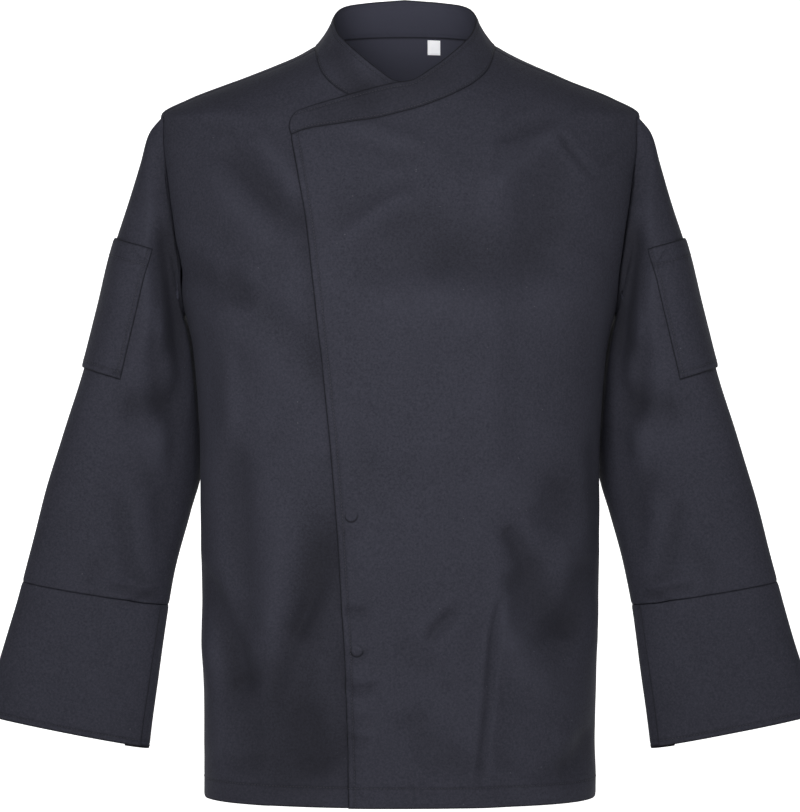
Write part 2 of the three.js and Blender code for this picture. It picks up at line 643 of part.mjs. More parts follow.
/** Opens every seam by the seam gap and gives the pieces that meet there one common wall. */
function joinSeams(sheets) {
  const edges = sheets.flatMap((sheet) => sheet.grid.flat().filter((vertex) => vertex.edge));
  const changes = edges.map((vertex) => {
    const met = edges.filter((other) => other.point.distanceTo(vertex.point) < 0.02);
    if (met.length === 1) return null;
    const walls = [];
    for (const other of met) {
      if (walls.every((wall) => wall.dot(other.normal) < 0.9)) walls.push(other.normal);
    }
    const normal = walls.reduce((sum, wall) => sum.add(wall), new THREE.Vector3()).normalize();
    const facing = walls.reduce((sum, wall) => sum + wall.dot(normal), 0) / walls.length;
    const move = new THREE.Vector3();
    for (const other of met.filter((each) => each !== vertex)) {
      move.add(vertex.into.clone().sub(other.into).normalize());
    }
    return { normal: normal.multiplyScalar(Math.min(1.6, 1 / facing)), move };
  });
  changes.forEach((change, i) => {
    if (!change) return;
    edges[i].normal = change.normal;
    edges[i].point.addScaledVector(change.move, SEAM_GAP / 2);
  });
}

/** The closed solid of a piece of cloth. */
function sheetMesh(sheet, color) {
  const { grid, wrap } = sheet;
  const rows = grid.length;
  const columns = grid[0].length;
  const outside = grid.flat().map((vertex) => vertex.point);
  const inside = grid.flat().map((v) => v.point.clone().addScaledVector(v.normal, -sheet.wall));
  const all = [...outside, ...inside];
  const positions = all.flatMap((point) => point.toArray());
  const inner = rows * columns;
  const at = (r, c) => r * columns + (c % columns);
  const faces = [];
  const quad = (a, b, c, d, like = 0) => {
    const [p, q, r, t] = [a, b, c, d].map((i) => all[i - like]);
    if (p.distanceTo(r) <= q.distanceTo(t)) faces.push(a, b, c, a, c, d);
    else faces.push(a, b, d, b, c, d);
  };
  for (let r = 0; r < rows - 1; r += 1) {
    for (let c = 0; c < (wrap ? columns : columns - 1); c += 1) {
      const [a, b, d, e] = [at(r, c), at(r, c + 1), at(r + 1, c + 1), at(r + 1, c)];
      quad(a, b, d, e);
      quad(inner + a, inner + e, inner + d, inner + b, inner);
    }
    if (!wrap) {
      const end = columns - 1;
      quad(at(r, 0), at(r + 1, 0), inner + at(r + 1, 0), inner + at(r, 0));
      quad(at(r, end), inner + at(r, end), inner + at(r + 1, end), at(r + 1, end));
    }
  }
  const top = rows - 1;
  for (let c = 0; c < (wrap ? columns : columns - 1); c += 1) {
    quad(at(0, c), inner + at(0, c), inner + at(0, c + 1), at(0, c + 1));
    quad(at(top, c), at(top, c + 1), inner + at(top, c + 1), inner + at(top, c));
  }
  const geometry = new THREE.BufferGeometry();
  geometry.setAttribute("position", new THREE.Float32BufferAttribute(positions, 3));
  geometry.setIndex(faces);
  geometry.computeVertexNormals();
  return namedMesh(sheet.name, geometry, color, 0.92, 0);
}

/** A mesh with its name and its own material. */
function namedMesh(name, geometry, color, roughness, metalness) {
  const material = new THREE.MeshStandardMaterial({ color, roughness, metalness });
  material.side = THREE.DoubleSide;
  const mesh = new THREE.Mesh(geometry, material);
  mesh.name = name;
  return mesh;
}

/** Points of one body half's places; the -X half keeps its columns in order from outside. */
function bodyPoints(places, side, lift) {
  return places.map((row) => {
    const points = row.map((p) => bodyCloth({ level: p.level, angle: side * p.angle }, lift));
    return side > 0 ? points : points.reverse();
  });
}

/** Turns points made at +X to the other side, keeping the columns in order from outside. */
function toSide(points, side) {
  if (side > 0) return points;
  return points.map((row) => row.map((p) => new THREE.Vector3(-p.x, p.y, p.z)).reverse());
}

/** The collar's points, from the crossing end round the back to the end underneath. */
function collarPoints() {
  const front = spread(1, SHOULDER_ALONG, FRONT_NECK_COLUMNS);
  const behind = spread(SHOULDER_ALONG, -SHOULDER_ALONG, BACK_NECK_COLUMNS).slice(1, -1);
  const under = spread(SHOULDER_ALONG, UNDER_END_ALONG, FRONT_NECK_COLUMNS).map((along) => -along);
  return spread(0, 1, COLLAR_ROWS).map((share) =>
    [...front, ...behind, ...under].map((along) => {
      const lift = along > 0 ? overLift : noLift;
      const point = collarPoint(Math.abs(along), share, lift);
      return point.setX(along < 0 ? -point.x : point.x);
    }),
  );
}

/** A sleeve's points from the wrist up to the armhole. */
function sleevePoints(surface) {
  return spread(1, 0, SLEEVE_ROWS).map((share) => {
    const along = CUFF_START * share ** 1.15;
    return spread(0, SLEEVE_COLUMNS - 1, SLEEVE_COLUMNS - 1).map((column) => surface(along, column));
  });
}

/** A cuff's points, from its hem up, from the front end round the outside to the back end. */
function cuffPoints(surface) {
  const columns = spread(CUFF_FIRST_COLUMN, CUFF_LAST_COLUMN, CUFF_LAST_COLUMN - CUFF_FIRST_COLUMN);
  return spread(1, 0, CUFF_ROWS).map((share) =>
    columns.map((column) => {
      const end = CUFF_END + CUFF_DROP * smooth(column / 6 - 3);
      const along = mix(CUFF_START + CUFF_GAP, end, share);
      const point = surface(along, column);
      const radial = point.clone().sub(sleeveMiddle(along)).normalize();
      const faded = smooth((column - CUFF_FIRST_COLUMN) / CUFF_LIFT_FADE);
      return point.addScaledVector(radial, CUFF_LIFT * (1 - faded));
    }),
  );
}

/** The label's points, seen from inside the back. */
function labelPoints() {
  return spread(-LABEL_LENGTH - 2, -2, 2).map((level) =>
    spread(LABEL_X - LABEL_WIDTH / 2, LABEL_X + LABEL_WIDTH / 2, 2).map((x) => {
      const s = bodyAt(level);
      const behind = s.back * (1 - (x / s.width) ** s.power) ** (1 / s.power);
      const angle = THREE.MathUtils.radToDeg(Math.atan2(x, -behind));
      const inward = -(CLOTH + LABEL_GAP + LABEL_THICKNESS);
      return bodyPoint(level, angle).addScaledVector(bodyNormal(level, angle), inward);
    }),
  );
}

/** A snap between the two fronts. */
function snapMesh(name, height) {
  const place = frontPlace(overEdge(height) + SNAP_INSET, height);
  const middle = lean(bodyCloth(place, () => SNAP_MIDDLE));
  const geometry = new THREE.CylinderGeometry(SNAP_RADIUS, SNAP_RADIUS, SNAP_THICKNESS, 20);
  const up = new THREE.Vector3(0, 1, 0);
  const turn = new THREE.Quaternion().setFromUnitVectors(up, bodyNormal(place.level, place.angle));
  geometry.applyQuaternion(turn);
  geometry.translate(middle.x, middle.y, middle.z);
  return namedMesh(name, geometry, SNAP_METAL, 0.4, 0.8);
}

const over = frontPanel(overEdge, 1);
const under = frontPanel((z) => -underEdge(z), UNDER_END_ALONG);
const leftSleeve = sleeveSurface(1);
const rightSleeve = sleeveSurface(-1);

const bodySheets = [
  makeSheet("back", bodyPoints(backPanel(), 1, noLift)),
  makeSheet("front_left", bodyPoints(over, 1, overLift)),
  makeSheet("front_right", bodyPoints(under, -1, noLift)),
  makeSheet("collar", collarPoints()),
  makeSheet("sleeve_left", sleevePoints(leftSleeve), { wrap: true }),
  makeSheet("sleeve_right", toSide(sleevePoints(rightSleeve), -1), { wrap: true }),
];
joinSeams(bodySheets);

const trimSheets = [
  makeSheet("cuff_left", cuffPoints(leftSleeve)),
  makeSheet("cuff_right", toSide(cuffPoints(rightSleeve), -1)),
  makeSheet("pocket_left", pocketPoints(leftSleeve), { pushOut: POCKET_LIFT }),
  makeSheet("pocket_right", toSide(pocketPoints(rightSleeve), -1), { pushOut: POCKET_LIFT }),
];
const label = makeSheet("label", labelPoints(), { wall: LABEL_THICKNESS });

const jacket = new THREE.Group();
jacket.name = "chef_jacket";
for (const sheet of [...bodySheets, ...trimSheets]) jacket.add(sheetMesh(sheet, NAVY));
jacket.add(sheetMesh(label, LABEL_WHITE));
SNAP_HEIGHTS.forEach((height, i) => jacket.add(snapMesh(`snap_${i + 1}`, height)));

export default jacket;
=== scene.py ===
"""A dark navy chef jacket, size S, filled out as if worn.

Every piece of cloth is a surface worked out from the jacket's own sizes, in millimetres: body
sections by height for the fronts and the back, rings round the arm for sleeves and cuffs, and a
ruled band for the collar. Creases are placed in tables. +Z is up, the front faces -Y and
the wearer's left is +X.
"""

import math

import bpy
import numpy as np
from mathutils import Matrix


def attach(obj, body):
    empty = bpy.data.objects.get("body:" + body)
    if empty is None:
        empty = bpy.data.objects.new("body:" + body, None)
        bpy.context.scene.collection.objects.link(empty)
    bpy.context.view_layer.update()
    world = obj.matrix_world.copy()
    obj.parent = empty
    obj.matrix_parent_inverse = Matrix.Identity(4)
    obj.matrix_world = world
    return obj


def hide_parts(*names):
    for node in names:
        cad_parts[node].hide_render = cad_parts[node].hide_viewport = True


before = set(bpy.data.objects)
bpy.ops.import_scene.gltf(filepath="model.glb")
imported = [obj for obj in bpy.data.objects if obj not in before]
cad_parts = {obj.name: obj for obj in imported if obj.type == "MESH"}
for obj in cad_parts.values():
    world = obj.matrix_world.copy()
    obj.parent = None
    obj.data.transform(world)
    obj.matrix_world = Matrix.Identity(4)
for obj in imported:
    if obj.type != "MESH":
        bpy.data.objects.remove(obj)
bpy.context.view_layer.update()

# Camera: looks at the jacket's middle from in front and a little above.
CAMERA_DISTANCE = 4.0
CAMERA_ELEVATION = 2.0
CAMERA_AIM = (0.0, 0.0, -0.356)
FRAME_HEIGHT = 0.812  # metres that the frame shows at the aim's distance

# Cloth
WALL = 1.5
LAYER_ROOM = 3.4
OVER_LIFT = LAYER_ROOM + WALL
LIFT_FADE = 38.0
NECK_LEAN = 5.0
LEAN_START = -75.0
SLEEVE_CLEARANCE = 3.0
CROWD = np.array([0.0, 0.4, 0.9, 1.6, 2.6, 3.8])  # grid lines beside an edge
BODY_FADE = 42.0  # creases fade out this near to the side of the body, and of a sleeve
SLEEVE_FADE = 22.0
ROLLED_EDGE = ((0.4, 0.55), (0.45, 2.4))  # depth and width of its two steps
SEAM_NEAR = 3.2  # square millimetres between points that meet at a seam
LEAST_FACING = 0.65

# Colours of the cloth: its two drifting tones, then the painted shade for stitch grooves and
# hollows, the painted light for ridges and the inside, and the painted shade at edges
NAVY_DARK = (0.025, 0.0255, 0.036, 1)
NAVY_LIGHT = (0.042, 0.0425, 0.0585, 1)
NAVY_GROOVE_SHADE = (0.012, 0.012, 0.017, 1)
NAVY_PAINTED_SHADE = (0.008, 0.008, 0.011, 1)
NAVY_PAINTED_LIGHT = (0.055, 0.056, 0.076, 1)
NAVY_INSIDE_PAINTED_LIGHT = (0.054, 0.055, 0.078, 1)
NAVY_EDGE_SHADE = (0.005, 0.005, 0.007, 1)
LINT_GREY = (0.3, 0.3, 0.32, 1)
THREAD_DARK = (0.012, 0.0125, 0.018, 1)
THREAD_LIGHT = (0.026, 0.0265, 0.036, 1)

# Body
HEM_LEVEL = -745.0
ARMPIT_LEVEL = -265.0
SHOULDER_LEVEL = -66.0
SHOULDER_SEAM_FORWARD = 12.0
ARMPIT_ROW = 16 / 28  # share of a panel's rows below the armpit
NECK_COLUMN = 12 / 20  # share of a front's columns along the neck
TIP_COLUMN = 8 / 26  # share of the back's columns along one shoulder

POCKET_WIDTH = 100.0
POCKET_FRONT_EDGE = (245.5, 276.5)  # its x at the top and the bottom
POCKET_LENGTH = 132.0
POCKET_TOP = 130.0  # from the shoulder's tip
POCKET_LIFT = 2.8

LABEL_LEVELS = (-15.5, -2.0)
LABEL_X = (23.5, 36.5)
LABEL_DEPTH = 3.4  # inside the neck

# Sewing
STITCH_LENGTH = 2.3
STITCH_PITCH = 3.1
STITCH_RADIUS = 0.27
EDGE_STITCH = 7.0
SNAP_MARKS = [(-0.0475, -0.459), (-0.042, -0.5905)]  # metres; where snaps show through
HEM_STITCH = 20.0
COLLAR_FOOT_STITCH = 2.6
COLLAR_TOP_STITCH = 5.0
CUFF_STITCH = 6.0
POCKET_FOOT_STITCH = 7.0
POCKET_HEM_STITCH = 18.0
POCKET_SIDE_STITCH = 4.5
# Painted shade: the cloth's colour darkens along edges and seams, standing in for their shadow
# lines.
EDGE_LINE = 1.1  # how far in from an edge the cloth is darker
FREE_EDGE_SHADE = 0.95  # how much darker, at a free edge and on both sides of a seam
SEAM_SHADE = 0.12
INNER_SEAM_SHADE = 0.8


def table(text):
    """A table's columns as arrays, under the names in its first line."""
    names, *rows = text.strip().splitlines()
    return dict(zip(names.split(), np.array([row.split() for row in rows], float).T))


BODY = table("""
level width front back middle power tilt
-745 196 112 106 0 2.5 0
-700 195.5 111 103 0 2.5 0
-600 197 110 98 0 2.5 0
-500 199 111 97 0 2.5 0
-400 200 114 101 0 2.5 0
-335 203 117 106 0 2.45 0
-290 208 118 109 0 2.4 0
-265 214 118 110 0 2.4 0
-240 220 117 111 1 2.35 0
-205 226 114 112 2 2.3 0.005
-165 232 108 111 3 2.25 0.015
-125 237 99 108 5 2.15 0.03
-90 240 89 103 7 2.05 0.055
-66 239 82 98 8 1.95 0.08
-50 212 77 94 9 1.95 0.1
-30 160 70 88 10 2.0 0.135
-10 110 62 81 10 2.1 0.175
0 91 58 78 10 2.2 0.19
""")
ARMHOLE = table("""
level front back
-66 -4 -4
-84 -9 18
-110 -15 34
-145 -23 46
-185 -30 52
-220 -32 47
-246 -26 33
-260 -13 16
-265 0 0
""")
OVER_EDGE = table("""
z x
-745 -50
-600 -54
-500 -60
-400 -67
-300 -77
-200 -88
-130 -98
-89 -106
""")
UNDER_EDGE = table("""
z x
-745 76
-400 84
-60 92
""")
NECK_SEAM = table("""
along x z
0.37 90 -0.5
0.43 84 -20
0.49 72 -35
0.55 54 -47
0.61 34 -56
0.66 15 -63
0.72 -7 -69
0.79 -34 -75
0.87 -64 -79
0.94 -91 -83.5
1.0 -106 -89
""")
SHOULDER_ALONG = 0.37
UNDER_END_ALONG = 0.94
COLLAR_TOP = table("""
along x y z
0.0 0 80 54
0.12 35 75 51
0.22 58 58 47
0.3 68 36 41
0.37 72 8 31
0.43 68 -16 17
0.49 57 -35 4
0.55 41 -47 -10
0.61 24 nan -23
0.66 8 nan -33
0.72 -10 nan -36
0.79 -34 nan -42
0.87 -62 nan -50.5
0.94 -88 nan -58.5
1.0 -102 nan -64
""")
COLLAR_HOLLOW = 2.5
COLLAR_END_ROUND = 4.0
SLEEVE = table("""
along outer_x outer_z inner_x inner_z inner_y front back
0.0 239 -66 214 -265 0 42 52
0.03 253 -84 216 -268 3 46 56
0.08 260 -110 213 -274 12 52 60
0.16 271 -150 208 -287 24 57 62
0.26 286 -200 203 -308 34 60 61
0.38 300 -258 199 -338 40 59 58
0.51 317 -324 198 -378 42 55 54
0.63 336 -384 200 -422 38 50 49
0.75 354 -443 211 -465 26 44 44
0.87 369 -500 224 -513 14 39 39
0.94 377 -530 232 -555 6 36 36
1.0 384 -556 236 -582 4 35 35
1.27 417 -663 251 -697 -4 27 27
""")
SLEEVE_POWER = 2.15
ARMHOLE_BLEND = 0.34
SLEEVE_OUTER_Y = -4.0
SLEEVE_FORWARD = 8.0
CUFF_START = 0.94
CUFF_END = 1.27
CUFF_DROP = 0.018
CUFF_LIFT = 3.2

# Creases: three points of each, seen from the front (from the same side on the back). depth goes
# into the cloth, or out of it where it is negative; width is where the fold has faded to a third.
BODY_CREASES = table("""
back x0 z0 x1 z1 x2 z2 width depth
0 -180 -94 -134 -137 -95 -187 16.5 7
0 -190 -103 -161 -157 -122 -191 15.6 -4
0 -146 -86 -119 -115 -101 -152 10.7 -3
0 -216 -212 -180 -233 -138 -249 13.6 5
0 -167 -214 -162 -232 -154 -251 8.8 2
0 -138 -251 -105 -286 -78 -325 14.6 4
0 -190 -274 -151 -288 -107 -332 19.5 -3
0 -171 -298 -166 -346 -169 -385 9.7 -3
0 -161 -390 -160 -463 -156 -541 14.6 7
0 -156 -541 -158 -599 -161 -643 16.5 7
0 -65 -461 -91 -541 -107 -580 20 6.5
0 -150 -600 -132 -665 -112 -740 46 9
0 -20 -165 60 -185 150 -170 36 3
0 -80 -531 -109 -590 -126 -643 7.8 3.5
0 -192 -517 -180 -560 -161 -619 10.7 7
0 -187 -572 -184 -640 -185 -712 11 -5
0 -125 -444 -115 -512 -134 -580 15.6 -4.5
0 -97 -643 -76 -677 -56 -708 21.4 5
0 -61 -580 -55 -638 -52 -702 9.7 4
0 39 -189 97 -214 156 -193 33.1 5.5
0 -49 -214 0 -220 58 -206 17.5 4
0 163 -103 144 -152 158 -191 23.3 5.5
0 -54 -191 -24 -165 14 -146 8.8 -4
0 -49 -76 -15 -88 19 -96 8.8 -2.5
0 88 -142 122 -111 167 -74 9.7 -4
0 95 -95 126 -80 158 -64 6.8 3
0 0 -237 97 -251 187 -239 23.3 -3.5
0 102 -471 115 -488 130 -514 8.8 6
0 117 -504 144 -549 158 -588 23.3 11
0 185 -502 179 -546 163 -584 15.6 8
0 101 -502 97 -533 109 -585 11.7 -3.5
0 117 -570 119 -603 158 -631 17.5 -5
0 0 -580 19 -595 33 -605 11.7 3.5
0 12 -653 41 -689 80 -711 14.6 4.5
0 190 -672 177 -702 156 -713 13.6 7
0 167 -422 158 -449 144 -475 21.4 5
0 97 -413 117 -436 128 -455 19.5 -3.5
0 192 -385 194 -444 194 -502 7.8 3
1 -150 -105 -95 -145 -40 -185 26 6
1 158 -110 109 -140 60 -170 24 6
1 -196 -222 -145 -261 -95 -300 24 9
1 198 -214 154 -248 110 -282 26 8.25
1 -128 -380 -120 -510 -112 -640 30 9
1 -40 -430 -44 -565 -48 -700 28 -6
1 42 -410 38 -510 34 -610 26 7.5
1 138 -420 130 -555 122 -690 30 8.25
""")
SLEEVE_CREASES = table("""
back x0 z0 x1 z1 x2 z2 width depth
0 232 -101 224 -166 211 -250 9.9 6
0 239 -173 229 -240 215 -311 8.9 7
0 275 -350 247 -355 209 -350 17.8 4.5
0 231 -281 240 -329 231 -372 9.9 5
0 217 -378 221 -427 225 -467 11.9 5
0 226 -185 216 -279 210 -418 14 8
0 250 -133 248 -166 246 -192 5.9 -2
1 236 -190 258 -245 280 -300 20 7.5
1 262 -360 292 -380 322 -400 20 6.75
1 258 -420 295 -433 332 -446 18 6
""")
FINE_BODY_CREASES = table("""
back x0 z0 x1 z1 x2 z2 width depth
0 -156 -115 -134 -142 -105 -167 6.8 2
0 -202 -72 -169 -82 -140 -84 7.8 1.2
0 29 -581 39 -566 57 -550 6.8 5
0 -5 -668 10 -657 25 -649 7.8 2.5
0 -146 -660 -150 -685 -151 -708 8.8 3
0 -181 -701 -160 -707 -134 -699 7.8 3
0 -99 -699 -88 -705 -66 -697 7.8 3
0 97 -689 126 -712 158 -715 7.8 2.5
0 156 -84 171 -103 189 -127 3.9 1.8
0 93 -86 89 -115 85 -154 5.8 -1.2
0 97 -88 94 -117 89 -152 4.9 1.2
0 97 -541 91 -580 86 -638 4.4 4.5
0 86 -638 82 -677 78 -721 4.4 4.5
0 82 -580 78 -629 70 -687 8.8 -1.5
0 -53 -549 -43 -553 -32 -551 4.6 4.2
0 -52 -619 -40 -628 -22 -625 5 5
0 -51 -629 -41 -632 -33 -642 3.2 2.4
0 -51 -655 -41 -660 -29 -656 4.2 2.8
0 -51 -674 -41 -680 -30 -677 4.6 3.8
0 -53 -595 -41 -598 -27 -590 3.6 3.2
0 -54 -474 -45 -477 -34 -473 3.4 1.6
0 -58 -346 -39 -350 -23 -358 4.9 1
0 -47 -371 -35 -391 -27 -413 7.8 1.5
0 -60 -320 -49 -321 -37 -318 3.9 0.8
0 19 -249 49 -278 97 -300 15.6 0.9
0 -39 -415 19 -420 68 -413 13.6 0.9
0 -97 -356 -126 -385 -134 -424 12.6 1
0 -214 -152 -190 -181 -169 -202 11.7 1
0 233 -84 216 -103 200 -113 5.8 1.6
0 -163 -629 -154 -623 -138 -625 5.8 1.5
0 18 -682 25 -699 43 -708 6.8 2
0 102 -531 109 -537 121 -533 4.9 -1.2
1 -170 -96 -128 -118 -84 -150 9 1.6
1 176 -104 132 -120 92 -142 8 1.6
1 -202 -204 -168 -232 -130 -252 9 1.8
1 204 -200 168 -226 126 -244 9 1.7
1 -188 -250 -150 -286 -112 -330 10 1.5
1 190 -246 148 -270 120 -320 10 1.6
1 -60 -150 -8 -166 44 -156 12 1.2
1 -140 -420 -128 -500 -126 -580 9 1.6
1 56 -380 48 -460 50 -540 9 1.3
1 150 -460 146 -540 136 -620 9 1.6
1 -30 -520 -40 -600 -36 -690 9 -1.2
1 -176 -560 -160 -600 -136 -640 8 1.4
1 180 -600 160 -650 150 -710 8 1.4
""")
FINE_SLEEVE_CREASES = table("""
back x0 z0 x1 z1 x2 z2 width depth
0 249 -416 237 -455 231 -506 11.9 3.5
0 277 -445 272 -487 263 -530 8.9 2.2
0 247 -200 241 -250 247 -311 4.9 2.4
0 288 -533 262 -540 233 -547 4.2 3.2
0 272 -551 254 -545 232 -534 4.2 2.8
0 262 -524 248 -530 234 -528 4.5 2
0 324 -586 304 -635 285 -660 11.9 -1.2
0 267 -586 285 -617 300 -645 9.9 -1.5
0 310 -514 304 -536 308 -566 5.9 1
0 287 -492 296 -506 312 -518 8.9 1.2
0 296 -210 300 -269 308 -315 11.9 0.8
0 265 -200 257 -205 247 -212 4.9 1.2
1 250 -150 262 -200 268 -256 9 1.5
1 240 -300 268 -330 304 -344 8 1.8
1 236 -342 262 -372 306 -392 7 1.6
1 240 -402 276 -416 322 -420 7 1.6
1 236 -436 270 -458 330 -466 8 1.4
1 340 -520 290 -534 246 -552 6 1.2
""")

# Painted shade and painted light: where the cloth's colour is only darkened or lightened,
# without a crease, in the same columns. The fronts get painted light along their sides and
# painted shade across the upper chest.
FRONT_PAINTED_LIGHT_AND_SHADE = table("""
back x0 z0 x1 z1 x2 z2 width depth
0 206 -250 200 -335 198 -470 12 -6
0 -206 -250 -200 -335 -198 -470 12 -6
0 -75 -150 -10 -178 50 -165 34 4
""")
# Painted shade on the under front, beside the crossing edge.
UNDER_PAINTED_SHADE = table("""
back x0 z0 x1 z1 x2 z2 width depth
0 -62 -440 -80 -590 -78 -745 40 9
0 -92 -120 -86 -240 -78 -360 10 5
""")
# Painted shade on the collar band.
COLLAR_PAINTED_SHADE = table("""
back x0 z0 x1 z1 x2 z2 width depth
0 -66 5 -50 -25 -30 -48 13 9
0 -96 -64 -20 -50 66 -14 20 8
""")


def smooth(value):
    """0 below 0, 1 above 1 and a smooth step between."""
    t = np.clip(value, 0.0, 1.0)
    return t * t * (3.0 - 2.0 * t)


def mix(start, end, share):
    return start + (end - start) * share


def curve(rows, given, wanted):
    """The monotone cubic through one column of a table, as a function of another column."""
    known = ~np.isnan(rows[wanted])
    order = np.argsort(rows[given][known])
    x = rows[given][known][order]
    y = rows[wanted][known][order]
    slope = np.diff(y) / np.diff(x)
    product = slope[:-1] * slope[1:]
    total = np.where(product > 0, slope[:-1] + slope[1:], 1.0)
    inner = np.where(product > 0, 2.0 * product / total, 0.0)
    tangent = np.concatenate([slope[:1], inner, slope[-1:]])

    def at(value):
        v = np.clip(value, x[0], x[-1])
        i = np.clip(np.searchsorted(x, v, side="right") - 1, 0, len(x) - 2)
        h = x[i + 1] - x[i]
        t = (v - x[i]) / h
        low = (1 + 2 * t) * (1 - t) ** 2 * y[i] + t * (1 - t) ** 2 * h * tangent[i]
        return low + t * t * (3 - 2 * t) * y[i + 1] + t * t * (t - 1) * h * tangent[i + 1]

    return at


def curves(rows, given, *wanted):
    return [curve(rows, given, name) for name in wanted]


width_at, front_at, back_at, middle_at, power_at, tilt_at = curves(
    BODY, "level", "width", "front", "back", "middle", "power", "tilt"
)
armhole_front = curve(ARMHOLE, "level", "front")
armhole_back = curve(ARMHOLE, "level", "back")
over_edge = curve(OVER_EDGE, "z", "x")
under_edge = curve(UNDER_EDGE, "z", "x")
seam_x, seam_z = curves(NECK_SEAM, "along", "x", "z")
top_x, top_z = curves(COLLAR_TOP, "along", "x", "z")


def body_point(level, angle):
    """The body's section at a level, a squared ellipse: its radius at an angle is
    (|sin/width|^p + |cos/reach|^p)^(-1/p), and it rises backwards by the tilt."""
    turn = np.radians(angle)
    across, ahead = np.sin(turn), np.cos(turn)
    reach = np.where(ahead >= 0, front_at(level), back_at(level))
    power = power_at(level)
    total = np.abs(across / width_at(level)) ** power + np.abs(ahead / reach) ** power
    radius = total ** (-1.0 / power)
    y = middle_at(level) - radius * ahead
    return np.stack([radius * across, y, level + tilt_at(level) * y], axis=-1)


def unit(vectors):
    return vectors / np.linalg.norm(vectors, axis=-1, keepdims=True)


def body_normal(level, angle):
    """The outward direction: the cross product of the steps round and up the body."""
    low = np.minimum(level, -0.5)
    up = body_point(low + 0.5, angle) - body_point(low - 0.5, angle)
    across = body_point(level, angle + 0.5) - body_point(level, angle - 0.5)
    return unit(np.cross(across, up))


def half_width(level, y):
    """Half the width of a section at a given y."""
    away = y - middle_at(level)
    reach = np.where(away < 0, front_at(level), back_at(level))
    power = power_at(level)
    share = np.minimum(1.0, np.abs(away) / reach)
    return width_at(level) * (1.0 - share**power) ** (1.0 / power)


def angle_of_y(level, y):
    return np.degrees(np.arctan2(half_width(level, y), middle_at(level) - y))


def angle_of_x(level, x):
    """The angle at which the front of a section has a given x."""
    power = power_at(level)
    share = np.minimum(1.0, np.abs(x) / width_at(level))
    return np.degrees(np.arctan2(x, front_at(level) * (1.0 - share**power) ** (1.0 / power)))


def front_place(x, z):
    """Level and angle of the body's front at x and z, by repeated correction of the tilt."""
    level = np.minimum(0.0, z)
    for _ in range(8):
        y = body_point(level, angle_of_x(level, x))[..., 1]
        level = np.minimum(0.0, z - tilt_at(level) * y)
    return level, angle_of_x(level, x)


# Arc length round the body for a fan of levels and angles, which turns places on the body into
# places on the flat pattern and back.
FAN_LEVELS = np.concatenate([np.linspace(HEM_LEVEL, -92, 150), np.linspace(-90, 0, 91)])
FAN_ANGLES = np.linspace(0.0, 180.0, 181)
FAN = body_point(FAN_LEVELS[:, None], FAN_ANGLES[None, :])
FAN_ARC = np.pad(np.cumsum(np.linalg.norm(np.diff(FAN, axis=1), axis=-1), axis=1), ((0, 0), (1, 0)))
FAN_SHARES = np.linspace(0.0, 1.0, 181)
FAN_ANGLE = np.array([np.interp(FAN_SHARES * arc[-1], arc, FAN_ANGLES) for arc in FAN_ARC])


def in_fan(values, level, column):
    """A value between the fan's levels and its evenly spaced columns, by two-way interpolation."""
    level, column = np.broadcast_arrays(level, column)
    i = np.clip(np.searchsorted(FAN_LEVELS, level) - 1, 0, len(FAN_LEVELS) - 2)
    t = np.clip((level - FAN_LEVELS[i]) / (FAN_LEVELS[i + 1] - FAN_LEVELS[i]), 0.0, 1.0)
    j = np.clip(np.floor(column).astype(int), 0, 179)
    s = column - j
    low = mix(values[i, j], values[i, j + 1], s)
    return mix(low, mix(values[i + 1, j], values[i + 1, j + 1], s), t)


def arc_of(level, angle, from_back):
    arc = in_fan(FAN_ARC, level, np.abs(angle))
    if from_back:
        arc = in_fan(FAN_ARC, level, 180.0) - arc
    return np.where(angle < 0, -arc, arc)


def angle_of(level, arc, from_back):
    share = np.clip(np.abs(arc) / in_fan(FAN_ARC, level, 180.0), 0.0, 1.0)
    if from_back:
        share = 1.0 - share
    return np.where(arc < 0, -1.0, 1.0) * in_fan(FAN_ANGLE, level, share * 180.0)


def crease_depth(rows, points, middle, fade):
    """How far a table's creases push the cloth in. Each follows a bent line through its three
    points; across it the depth falls as a bell, with a low swelling on both sides."""
    depth = np.zeros(points.shape[:-1])
    away = np.broadcast_to(middle - points[..., 1], depth.shape)
    flat = points[..., [0, 2]]
    share = np.linspace(0.0, 1.0, 13)[:, None]
    for back, x0, z0, x1, z1, x2, z2, width, amount in zip(*rows.values()):
        start, bend, end = np.array([x0, z0]), np.array([x1, z1]), np.array([x2, z2])
        control = 2.0 * bend - 0.5 * (start + end)
        line = (1 - share) ** 2 * start + 2 * share * (1 - share) * control + share**2 * end
        inside = (flat > line.min(axis=0) - 4 * width) & (flat < line.max(axis=0) + 4 * width)
        inside = inside.all(axis=-1) & ((away < 0) if back else (away > 0))
        place = flat[inside]
        near = np.full(len(place), 1e9)
        along = np.zeros(len(place))
        for i in range(len(line) - 1):
            run = line[i + 1] - line[i]
            t = np.clip(((place - line[i]) @ run) / (run @ run), 0.0, 1.0)
            off = np.linalg.norm(place - line[i] - t[:, None] * run, axis=-1)
            closer = off < near
            near = np.where(closer, off, near)
            along = np.where(closer, (i + t) / 12.0, along)
        reach = near / width
        bell = np.exp(-(reach**2)) - 0.22 * np.exp(-(((reach - 1.9) / 0.9) ** 2))
        ends = smooth(0.35 + along / 0.3) * smooth(0.35 + (1.0 - along) / 0.3)
        facing = smooth(np.abs(away[inside]) / fade)
        depth[inside] += amount * bell * ends * facing
    return depth


def waviness(points, size, seed):
    """Gentle unevenness: a sum of eight seeded sine waves of about the given size."""
    rng = np.random.default_rng(seed)
    total = np.zeros(points.shape[:-1])
    for _ in range(8):
        direction = unit(rng.normal(size=3)) * (2 * np.pi / (size * rng.uniform(0.7, 1.6)))
        total += np.sin(points @ direction + rng.uniform(0, 2 * np.pi))
    return total / 8.0


